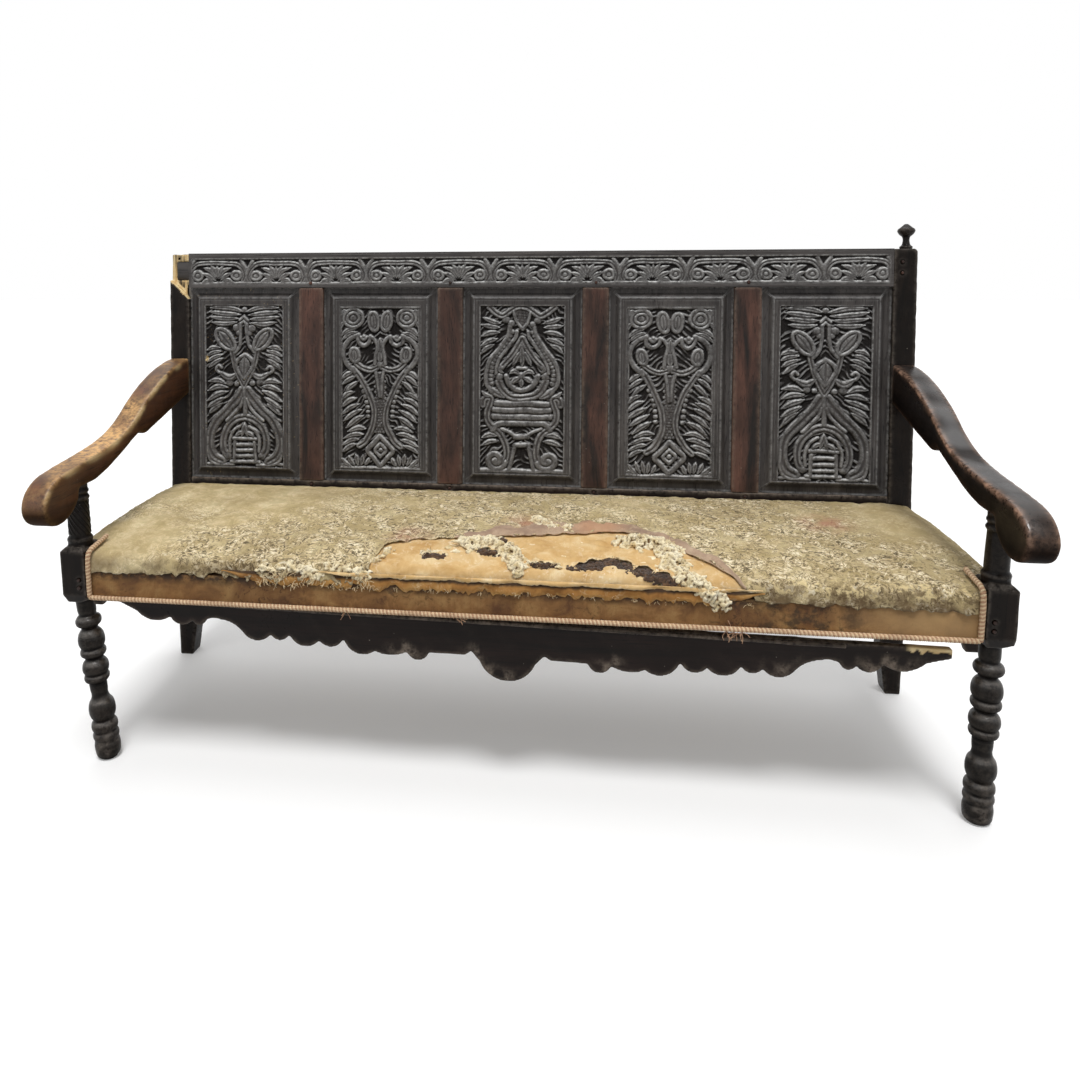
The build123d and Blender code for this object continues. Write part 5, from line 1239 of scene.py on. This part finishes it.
# Geometry Nodes trees for what repeats or follows a path
class Recipe(Nodes):
    """One tree with named sizes and a material, whose result is kept as a plain mesh."""

    def __init__(self, name, *sizes):
        self.tree = bpy.data.node_groups.new(name, "GeometryNodeTree")
        for way in ("INPUT", "OUTPUT"):
            self.tree.interface.new_socket("Geometry", in_out=way, socket_type="NodeSocketGeometry")
        self.identifiers = {}
        for key in (*sizes, "material"):
            kind = "NodeSocketMaterial" if key == "material" else "NodeSocketFloat"
            socket = self.tree.interface.new_socket(key, in_out="INPUT", socket_type=kind)
            self.identifiers[key] = socket.identifier
        self.inputs = self.tree.nodes.new("NodeGroupInput").outputs
        self.end = self.tree.nodes.new("NodeGroupOutput")

    def line(self):
        return self.add("GeometryNodeMeshToCurve", {"Mesh": self.inputs["Geometry"]})[0]

    def tube(self, line, sides, radius):
        circle = self.add("GeometryNodeCurvePrimitiveCircle", {"Resolution": sides, "Radius": radius})[0]
        self.close(self.add("GeometryNodeCurveToMesh",
                            {"Curve": line, "Profile Curve": circle, "Fill Caps": True})[0])

    def on_points(self, piece, axis, values=None):
        """Put a piece on each point, with one axis turned to the way that the point faces."""
        facing = self.add("GeometryNodeInputNamedAttribute", {"Name": "facing"}, data_type="FLOAT_VECTOR")[0]
        turned = self.add("FunctionNodeAlignRotationToVector", {"Vector": facing}, axis=axis)[0]
        spots = {"Points": self.inputs["Geometry"], "Instance": piece, "Rotation": turned}
        self.close(self.add("GeometryNodeInstanceOnPoints", {**spots, **(values or {})})[0])

    def close(self, geometry):
        smooth = self.add("GeometryNodeSetShadeSmooth", {"Geometry": geometry})[0]
        whole = self.add("GeometryNodeRealizeInstances", {"Geometry": smooth})[0]
        dressed = {"Geometry": whole, "Material": self.inputs["material"]}
        self.tree.links.new(self.add("GeometryNodeSetMaterial", dressed)[0], self.end.inputs[0])

    def make(self, name, places, edges=(), facing=None, **values):
        """Run the tree on loose points or on lines of points, and keep the plain mesh."""
        mesh = bpy.data.meshes.new(name)
        mesh.from_pydata(np.asarray(places, float).tolist(), [tuple(e) for e in edges], [])
        if facing is not None:
            layer = mesh.attributes.new("facing", "FLOAT_VECTOR", "POINT")
            layer.data.foreach_set("vector", np.asarray(facing, np.float32).ravel())
        piece = placed(name, mesh)
        modifier = piece.modifiers.new("recipe", "NODES")
        modifier.node_group = self.tree
        for key, value in values.items():
            modifier[self.identifiers[key]] = value
        plain(piece)
        return piece


def strand_recipe():
    """One strand of a twisted cord: a tube that winds round a path."""
    recipe = Recipe("strand", "lay_radius", "strand_radius", "pitch", "phase", "step")
    steps = {"Curve": recipe.line(), "Length": recipe.inputs["step"]}
    even = recipe.add("GeometryNodeResampleCurve", steps, mode="LENGTH")[0]
    run = recipe.add("GeometryNodeSplineParameter")["Length"]
    turns = recipe.times(recipe.math("DIVIDE", run, recipe.inputs["pitch"]), 2*pi)
    angle = recipe.plus(turns, recipe.inputs["phase"])
    normal = recipe.add("GeometryNodeInputNormal")[0]
    tangent = recipe.add("GeometryNodeInputTangent")[0]
    sideways = recipe.vector("CROSS_PRODUCT", tangent, normal)
    out = recipe.scaled(normal, recipe.math("COSINE", angle))
    over = recipe.scaled(sideways, recipe.math("SINE", angle))
    shift = recipe.scaled(recipe.vector("ADD", out, over), recipe.inputs["lay_radius"])
    wound = recipe.add("GeometryNodeSetPosition", {"Geometry": even, "Offset": shift})[0]
    recipe.tube(wound, 8, recipe.inputs["strand_radius"])
    return recipe


def thread_recipe():
    """Loose threads: thin tubes along lines."""
    recipe = Recipe("threads", "thread_radius")
    recipe.tube(recipe.line(), 5, recipe.inputs["thread_radius"])
    return recipe


def peg_recipe():
    """Cut ends of wooden pegs: many-sided heads that face out of the wood, each a little different."""
    recipe = Recipe("pegs", "head_radius", "head_height")
    radius = recipe.inputs["head_radius"]
    values = {"Vertices": 9, "Side Segments": 2, "Fill Segments": 2, "Depth": recipe.inputs["head_height"]}
    values.update({"Radius Bottom": radius, "Radius Top": recipe.times(radius, 0.72)})
    head = recipe.add("GeometryNodeMeshCone", values)[0]
    size = recipe.add("FunctionNodeRandomValue", {2: 0.85, 3: 1.15, "Seed": 4}, data_type="FLOAT")[1]
    recipe.on_points(head, "Z", {"Scale": size})
    return recipe


def strap_recipe():
    """Webbing straps: thin woven strips, one on each point, that sag a little between the rails."""
    recipe = Recipe("straps", "width", "length", "thickness", "sag")
    sides = {n: recipe.inputs[key] for n, key in enumerate(("width", "length", "thickness"))}
    size = recipe.add("ShaderNodeCombineXYZ", sides)[0]
    steps = {"Size": size, "Vertices X": 6, "Vertices Y": 40, "Vertices Z": 2}
    box = recipe.add("GeometryNodeMeshCube", steps)[0]
    along = recipe.add("ShaderNodeSeparateXYZ", {0: recipe.add("GeometryNodeInputPosition")[0]})[1]
    part = recipe.math("DIVIDE", along, recipe.inputs["length"])
    dip = recipe.times(recipe.math("COSINE", recipe.times(part, pi)), recipe.inputs["sag"], -1.0)
    shift = recipe.add("ShaderNodeCombineXYZ", {2: dip})[0]
    hung = recipe.add("GeometryNodeSetPosition", {"Geometry": box, "Offset": shift})[0]
    recipe.on_points(hung, "Y")
    return recipe


def solids_of(node):
    """The points of each separate solid in a frame node."""
    shell = bmesh.new()
    shell.from_mesh(merged_copy(node))
    left = set(shell.verts)
    found = []
    while left:
        group, queue = [], [left.pop()]
        while queue:
            corner = queue.pop()
            group.append(corner.co.copy())
            for edge in corner.link_edges:
                other = edge.other_vert(corner)
                if other in left:
                    left.remove(other)
                    queue.append(other)
        found.append(np.array(group))
    shell.free()
    return found


def border_cord(finishes):
    """The twisted cord round the front border: two strands wound on one path."""
    x, y = 811.0, rail_front - 7.9
    low, high = 351.5, 445.0
    back = roll_y + 44
    near = 9.0
    route = [
        (-x, back, high + 7), (-x, roll_y + 10, high + 2), (-x, y + near, high - 1), (-x, y, high - 14),
        (-x, y, low + near), (-x, y, low), (-x + near, y, low),
    ]
    route += [(px, y, low) for px in (-540, -270, 0, 270, 540)]
    route += [(-px, py, pz) for px, py, pz in reversed(route[:7])]
    curve = bpy.data.curves.new("cord_route", "CURVE")
    curve.dimensions = "3D"
    spline = curve.splines.new("NURBS")
    spline.points.add(len(route) - 1)
    for point, place in zip(spline.points, route):
        point.co = (*(c*mm for c in place), 1.0)
    spline.order_u = 3
    spline.use_endpoint_u = True
    spline.resolution_u = 24
    holder = placed("cord_route", curve)
    graph = bpy.context.evaluated_depsgraph_get()
    path = places_of(bpy.data.meshes.new_from_object(holder.evaluated_get(graph)))
    bpy.data.objects.remove(holder)
    edges = [(n, n + 1) for n in range(len(path) - 1)]
    recipe = strand_recipe()
    for number, finish in enumerate(finishes):
        strand = recipe.make(f"cord_strand_{number + 1}", path, edges, material=finish, phase=number*pi,
                             lay_radius=3.0*mm, strand_radius=2.1*mm, pitch=7.0*mm, step=0.9*mm)
        finished(strand, ["border_cord"])


def loose_threads(name, roots, length, seed, radius, material):
    """Frayed threads that leave their roots, wander and hang."""
    draw = np.random.default_rng(seed)
    places, edges = [], []
    for root in roots:
        for _ in range(draw.integers(2, 5)):
            heading = np.array([draw.normal(0, 0.7), -0.5 + draw.normal(0, 0.25), draw.normal(-0.4, 0.5)])
            spot = np.array(root) + draw.normal(0, 1.6, 3)
            step = length*draw.uniform(0.5, 1.3)/7
            first = len(places)
            for n in range(8):
                places.append(spot.copy())
                heading += draw.normal(0, 0.35, 3) + [0, 0.05, -0.12]
                spot += step*heading/np.linalg.norm(heading)
            edges += [(first + n, first + n + 1) for n in range(7)]
    places = np.array(places)
    places[:, 1] = np.clip(places[:, 1], front_y/mm - 8, None)
    piece = thread_recipe().make(name, places*mm, edges, thread_radius=radius*mm, material=material)
    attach(piece, "root")
    return piece


# Runs of burst stuffing: two ends on the seat, spread, height, number and size of its knots
flock_runs = [
    (-88, 70, -30, 84, 24, 20, 190, 6.2), (-26, 72, 16, 34, 18, 20, 150, 6.2),
    (8, 32, 24, -12, 13, 14, 120, 6.0), (218, 118, 308, 98, 26, 18, 230, 6.2),
    (296, 92, 312, 6, 24, 15, 210, 6.0), (312, 2, 384, -52, 17, 11, 190, 5.4),
    (46, 214, 72, 178, 18, 12, 90, 5.6), (70, 172, 118, 160, 14, 12, 80, 5.6),
    (-164, 37, -116, 38, 10, 6, 60, 4.6), (40, 20, 92, 12, 10, 6, 64, 4.6),
    (-20, 92, 14, 70, 8, 8, 40, 5.0), (296, 104, 330, 84, 10, 8, 40, 5.0),
    (-470, -24, -420, -30, 12, 5, 36, 4.6), (-408, -20, -352, -34, 12, 6, 64, 5.0),
    (-338, -14, -252, -30, 13, 7, 90, 5.0), (-250, -6, -226, 40, 9, 5, 26, 5.0),
]
# Dark hair stuffing: short patches of real hair, and three long runs from x 126 to 300 whose dark knots fill
# the slit as a dark fill that stands in for the shade under the canvas flap.
hair_and_slit_shade_runs = [
    (-158, 27, -122, 31, 8, 5, 80, 4.6), (-60, 48, -18, 44, 8, 6, 90, 4.6), (48, 12, 86, 7, 8, 6, 80, 4.6),
    (126, 11, 191, 28, 13, -3, 260, 4.4), (191, 28, 238, 8, 13, -3, 220, 4.4),
    (238, 8, 300, -20, 13, -3, 260, 4.4), (-20, 88, 8, 60, 6, 17, 30, 4.6),
]


def stuffing_clumps(name, runs, seed, material):
    """Stuffing that bursts through the canvas, in soft knots."""
    draw = np.random.default_rng(seed)
    ball = bmesh.new()
    bmesh.ops.create_icosphere(ball, subdivisions=2, radius=mm)
    ball_places = np.array([v.co for v in ball.verts])
    ball_faces = np.array([[v.index for v in f.verts] for f in ball.faces])
    ball.free()
    places, faces = [], []
    for x0, s0, x1, s1, spread, height, count, size in runs:
        for _ in range(count):
            part = draw.random()
            aside = draw.normal(0, 0.5, 2)
            x = np.array([x0 + (x1 - x0)*part + spread*aside[0]])
            s = np.array([s0 + (s1 - s0)*part + spread*aside[1]])
            lift = np.array([3 + height*draw.random()*max(0.1, 1 - hypot(*aside)*0.8)])
            place, _ = seat_place(x, s, lift)
            stretch = np.array([draw.uniform(0.8, 1.7), draw.uniform(0.7, 1.3), draw.uniform(0.55, 0.9)])
            faces.append(ball_faces + len(places)*len(ball_places))
            places.append(place[0] + ball_places*stretch*size*draw.uniform(0.45, 1.0))
    piece = mesh_piece(name, np.vstack(places), np.vstack(faces).tolist(), material)
    voxels(piece, 1.8*mm)
    mesh = plain(piece)
    places = places_of(mesh)
    shift = 0.9*ripple(places, 0.008, 51) + 0.7*ripple(places, 0.004, 52)
    move_to(mesh, places + normals_of(mesh)*(shift*mm)[:, None])
    # Concave places between the knots are marked for painted shade.
    mark_wear(mesh, 9.0)
    mesh.shade_smooth()
    finished(piece, [])


def fibre_roots(runs, count, seed):
    """Places on the runs of stuffing where single fibres stand out."""
    draw = np.random.default_rng(seed)
    ends = np.array(runs, float)[draw.integers(0, len(runs), count)]
    part = draw.random(count)
    x = ends[:, 0] + (ends[:, 2] - ends[:, 0])*part + draw.normal(0, 0.4, count)*ends[:, 4]
    s = ends[:, 1] + (ends[:, 3] - ends[:, 1])*part + draw.normal(0, 0.4, count)*ends[:, 4]
    places, _ = seat_place(x, s, 5 + 0.6*ends[:, 5]*draw.random(count))
    return places/mm


def flock_finish(name, tones, dirt_and_shade):
    """Loose stuffing, with painted shade in the recesses between its knots."""
    finish = Finish(name, 0.95)
    fuzz = finish.noise(420, 4, 0.7)
    tufts = finish.noise(60, 3, 0.6)
    finish.paint(finish.ramp(tufts, (0.3, tones[0]), (0.5, tones[1]), (0.75, tones[2])))
    finish.tint(finish.times(finish.mark("dirt_and_shade"), 1.0, clamp=True), dirt_and_shade)
    finish.shader.inputs["Sheen Weight"].default_value = 0.3
    finish.relief(finish.plus(fuzz, tufts), 0.8, 0.0015)
    return finish.material


def cord_finish(name, tones):
    """Twisted yarn: light and dark fibres along it, and soil in patches."""
    finish = Finish(name, 0.75)
    fibre = finish.noise(520, 2, 0.6, place=finish.stretched(0.3, 1, 1))
    finish.paint(finish.ramp(fibre, (0.3, tones[0]), (0.7, tones[1])))
    finish.tint(finish.spread(finish.noise(14, 4, 0.65), 0.48, 0.72, 0.0, 0.6), tones[2])
    finish.relief(fibre, 0.6, 0.0006)
    return finish.material


def side_sheet(name, side, material):
    """A plain border down one end of the seat, behind the front post."""
    ss = np.linspace(notch_s, seat_run - 2, 78)
    parts = np.linspace(0, 1, 13)
    s, part = grid_points(ss, parts)
    edge, _ = seat_place(np.full(len(s), side*seat_end), s, 2.6)
    top = edge[:, 2]/mm
    z = 375 + (top - 375)*part
    spots = pairs(s, z)
    out = 0.9 + 0.8*ripple(spots, 60, 61)*np.sin(pi*part)
    places = np.stack([np.full(len(s), side*seat_end) + side*out, roll_y + s, z], axis=1)*mm
    faces = grid_faces(len(parts), len(ss))
    faces = faces if side > 0 else faces[:, ::-1]
    flat = spots - [0, 70]
    fray = np.clip(1 - part*6, 0, 1)*0.5
    return cloth_piece(name, places, faces.tolist(), flat, fray, material, 1.6)


def folded_edge(material):
    """The reddish lining strip that is turned back along the right part of the tear."""
    xs = np.linspace(-110, 424, 178)
    parts = np.linspace(0, 1, 9)
    x, part = grid_points(xs, parts)
    width = np.interp(x, [-110, -45, 30, 120, 220, 334, 383, 424], [6, 44, 52, 62, 44, 44, 36, 5])
    along = x[:, None]
    width = width*(1 + 0.18*ripple(along, 70, 71)) + 1.5*ripple(along, 18, 72)
    s = tear_line(x) - 4 + part*np.maximum(width, 3) + 2.5*ripple(along, 45, 73)
    spots = pairs(x, s)
    lift = 6.4 + 2.2*np.sin(pi*part) + 1.2*ripple(spots, 30, 74) + 0.6*ripple(spots, 11, 75)
    places, _ = seat_place(x, s, lift)
    fray = np.exp(-(np.minimum(part, 1 - part)*width/4)**2)
    faces = grid_faces(len(parts), len(xs)).tolist()
    return cloth_piece("folded_lining", places, faces, spots, fray, material, 1.2)


def hessian_sheet(material):
    """The base cloth that lies on the webbing, with small ripples."""
    low, high = (np.array(c)/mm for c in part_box("seat_hessian"))
    xs = np.linspace(low[0], high[0], 130)
    ys = np.linspace(low[1], high[1], 36)
    x, y = grid_points(xs, ys)
    spots = pairs(x, y)
    z = (low[2] + high[2])/2 - 0.5 + 0.35*ripple(spots, 80, 81)
    places = np.stack([x, y, z], axis=1)*mm
    faces = grid_faces(len(ys), len(xs)).tolist()
    return cloth_piece("base_hessian", places, faces, spots, np.zeros(len(x)), material, 1.2)


def webbing_straps(node, lengthwise, material):
    """Straps at the places of one set of webbing."""
    centres, sizes = [], []
    for solid in solids_of(node):
        low, high = solid.min(axis=0), solid.max(axis=0)
        centres.append((low + high)/2)
        sizes.append(high - low)
    size = np.array(sizes).mean(axis=0)
    width, length = (size[1], size[0]) if lengthwise else (size[0], size[1])
    facing = [(1, 0, 0) if lengthwise else (0, 1, 0)]*len(centres)
    straps = strap_recipe().make(f"{node}_straps", centres, facing=facing, width=width, length=length,
                                 thickness=1.6*mm, sag=0.6*mm, material=material)
    finished(straps, [node])


def peg_ends(node, radius, material):
    """Cut peg ends at both ends of each peg of one set."""
    places, facing = [], []
    for solid in solids_of(node):
        centre = (solid.min(axis=0) + solid.max(axis=0))/2
        axis = np.linalg.svd(solid - solid.mean(axis=0))[2][0]
        half = np.abs((solid - centre) @ axis).max()
        for way in (-1, 1):
            places.append(centre + way*axis*(half - 1.9*mm))
            facing.append(way*axis)
    heads = peg_recipe().make(f"{node}_ends", places, facing=facing, material=material,
                              head_radius=radius*mm, head_height=4.0*mm)
    finished(heads, [node])


def reeding(axis_place, low, high, radii, material):
    """Slanting reeds that wind round the column's neck."""
    count, turn = 13, radians(140)
    places, edges = [], []
    for reed in range(count):
        first = len(places)
        for part in np.linspace(0, 1, 13):
            angle = 2*pi*reed/count + turn*part
            z = high + (low - high)*part
            swell = radii[0] + (radii[1] - radii[0])*(1 - part) - 0.8
            places.append((axis_place[0] + swell*cos(angle), axis_place[1] + swell*sin(angle), z))
        edges += [(first + n, first + n + 1) for n in range(12)]
    places = np.array(places)*mm
    reeds = thread_recipe().make("column_reeds", places, edges, thread_radius=2.1*mm, material=material)
    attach(reeds, "root")


def dress(nodes, material):
    """Give frame nodes whose shape is right a finish of their own."""
    for node in nodes:
        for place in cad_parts[node].material_slots:
            place.material = material


set_camera()
set_studio()
across, depthwise, upright = 0, 1, 2
black_oak = oak("black_oak_upright", "0d0a08", "241c17", "857c73", upright, 0.65, 0.22, "050404", 0.1)
black_oak_across = oak("black_oak_across", "120d0b", "231916", "8a7d70", across, 0.75, 0.27, shine=0.12)
red_oak = oak("reddish_oak", "1d1816", "61443a", "917f70", upright, 0.7, 0.3, blotch=0.6)
brown_oak = oak("golden_arm_oak", "3a2418", "7a4e30", "dcae72", depthwise, 0.95, 0.3, "17100b", 0.35)
dark_arm_oak = oak("dark_arm_oak", "120d0b", "241b16", "d2a88e", depthwise, 0.9, 0.2, "070505", 0.12)
# In the carved finishes the near-white pale tone mostly colours the painted highlights on the upper slopes of
# the relief.
carved_oak = oak("carved_oak", "353231", "514d4b", "d0d0cf", upright, 0.95, 0.28, "060505")
carved_rail_oak = oak("carved_rail_oak", "3a3736", "575351", "dcdcda", across, 1.0, 0.28, "060505")
frame_oak = oak("sawn_oak", "4a3523", "6f5236", "8f7350", across, 0.3, 0.7, "2a1d12")
for number, motif in enumerate((palmette, branching, urn, branching, palmette), 1):
    carved_panel(number, motif, carved_oak)
carved_top_rail(carved_rail_oak)
for side in ("left", "right"):
    worn_solid(f"back_post_{side}", black_oak, 2.6, touch=split_cheek if side == "left" else None)
    worn_solid(f"front_post_{side}", black_oak, 1.8, 2, touch=worn_foot)
worn_solid("arm_left", brown_oak, 2.6, 22, touch=golden_arm)
worn_solid("arm_right", dark_arm_oak, 2.6, 22, touch=black_arm)
reeding((-post_axis[0]/mm, post_axis[1]/mm), 471.0, 537.0, (20.0, 19.0), black_oak)
for number in range(1, 5):
    worn_solid(f"muntin_{number}", red_oak, 2.8)
worn_solid("back_bottom_rail", black_oak_across, 3.2, touch=painted_ledge_highlight)
worn_solid("front_apron", black_oak_across, 2.6, 3, touch=worn_lobes)
worn_solid("apron_stub", black_oak_across, 1.6, 2)
worn_solid("apron_strip", black_oak_across, 2.4, touch=dusty_strip)
worn_solid("finial_right", black_oak, 1.4, 2)
dress(["seat_rail_front", "seat_rail_rear", "seat_rail_left", "seat_rail_right", "seat_bearer"], frame_oak)
rust = Finish("rusted_nails", 0.75)
rust.paint(rust.ramp(rust.noise(300, 4, 0.7), (0.35, "1d1815"), (0.7, "4b2c1c")))
rust.relief(rust.noise(700, 3), 0.6, 0.0006)
dress(["apron_nails"], rust.material)
for node, radius in (("back_pegs", 4.2), ("seat_pegs", 4.2), ("arm_pegs", 4.0)):
    peg_ends(node, radius, red_oak)

# Upholstery, from the webbing up
webbing = cloth("jute_webbing", ("8d7040", "a88c58", "bfa672"), 0.0026, "6f5730").material
hessian = cloth("hessian", ("8a6c3a", "a5874f", "b89a62"), 0.0024, "6d5429").material
canvas_tones = ("bd9458", "d4b078", "e6cfa2")
canvas = cloth("golden_canvas", canvas_tones, 0.0016, "ae8348", 0.85, 0.5, "f0e4ca").material
border_cloth = soiled_border()
lining = reddish_lining()
old_gold = old_gold_hem()
woven_cover = tapestry()
flock = flock_finish("stuffing_flock", ("c6ad78", "ebdcb6", "f9f1d8"), "6b4f2b")
hair = flock_finish("stuffing_hair", ("2c1d11", "4a3320", "6d4f33"), "170e07")
webbing_straps("webbing_crosswise", False, webbing)
webbing_straps("webbing_lengthwise", True, webbing)
base_cloth = hessian_sheet(hessian)
finished(base_cloth, ["seat_hessian"])
stuffed_pad(flock)
side_stops = [-seat_end, -end_roll_x, -notch_x, notch_x, end_roll_x, seat_end]
canvas_steps = fine_steps(side_stops, 6.2), fine_steps([-60, notch_s, seat_run], 6.2)
canvas_sheet = seat_sheet("golden_canvas_layer", *canvas_steps, canvas_kept, canvas_lift, canvas, 1.2)
finished(canvas_sheet, ["seat_canvas"])
cover_steps = fine_steps(side_stops, 5.0), fine_steps([-72, notch_s, seat_run], 4.6)
cover_sheet = seat_sheet("torn_cover", *cover_steps, cover_kept, cover_lift, woven_cover, 1.2)
finished(cover_sheet, ["seat_cover"])
lining_strip = folded_edge(lining)
finished(lining_strip, [])
stuffing_clumps("burst_flock", flock_runs, 5, flock)
# Dark hair knots; along the slit they are a dark fill that stands in for the shade under the canvas flap.
stuffing_clumps("burst_hair_and_slit_shade", hair_and_slit_shade_runs, 6, hair)
hems = [
    front_sheet("torn_hem_upper", (-350, 452), (416.5, 423.5), rail_front - 4.2, canvas, 101, 0.9, 4.0),
    front_sheet("torn_hem_middle", (-540, 456), (396.0, 418), rail_front - 2.4, old_gold, 111, 3.4, 3.2),
]
for hem in hems:
    finished(hem, [])
front_border = front_sheet("front_border_cloth", (-notch_x, notch_x), (346, 404.8), rail_front - 0.9,
                           border_cloth, 121, 0.0, 0.9, 1.6)
finished(front_border, ["border_front"])
for name, side in (("left", -1), ("right", 1)):
    border = side_sheet(f"{name}_border_cloth", side, border_cloth)
    finished(border, [f"border_{name}"])
cord_tan = cord_finish("cord_tan", ("a0765e", "cda885", "80604a"))
cord_cream = cord_finish("cord_cream", ("cdb08a", "e9d4b0", "a58566"))
border_cord((cord_tan, cord_cream))
cord_tufts = [(x, rail_front - 6, 346) for x in (-300, -88, -82, 392, 398, 403, 408, 412, 418)]
threads = cord_finish("pale_threads", ("c9ab78", "ead9b6", "a98a58"))
loose_threads("cord_tufts", cord_tufts, 17, 131, 0.6, cord_tan)
fringe_draw = np.random.default_rng(141)
fringe_xs = fringe_draw.uniform(-470, 440, 70)
fringe = [(x, rail_front - 4.5, 398 + fringe_draw.normal(0, 2.5)) for x in fringe_xs]
loose_threads("hem_fringe", fringe, 7, 142, 0.32, threads)
tuft_draw = np.random.default_rng(151)
tuft_xs = tuft_draw.uniform(-460, -250, 26)
front_tufts = [(x, rail_front - 5.0, 408 + tuft_draw.normal(0, 5)) for x in tuft_xs]
loose_threads("flock_tufts", front_tufts, 12, 152, 0.55, threads)
flock_roots = fibre_roots(flock_runs, 180, 161)
loose_threads("flock_fibres", flock_roots, 13, 162, 0.38, threads)
dark_threads = cord_finish("hair_threads", ("2c1d11", "5a4029", "170e07"))
hair_roots = fibre_roots(hair_and_slit_shade_runs, 110, 171)
loose_threads("hair_fibres", hair_roots, 12, 172, 0.38, dark_threads)
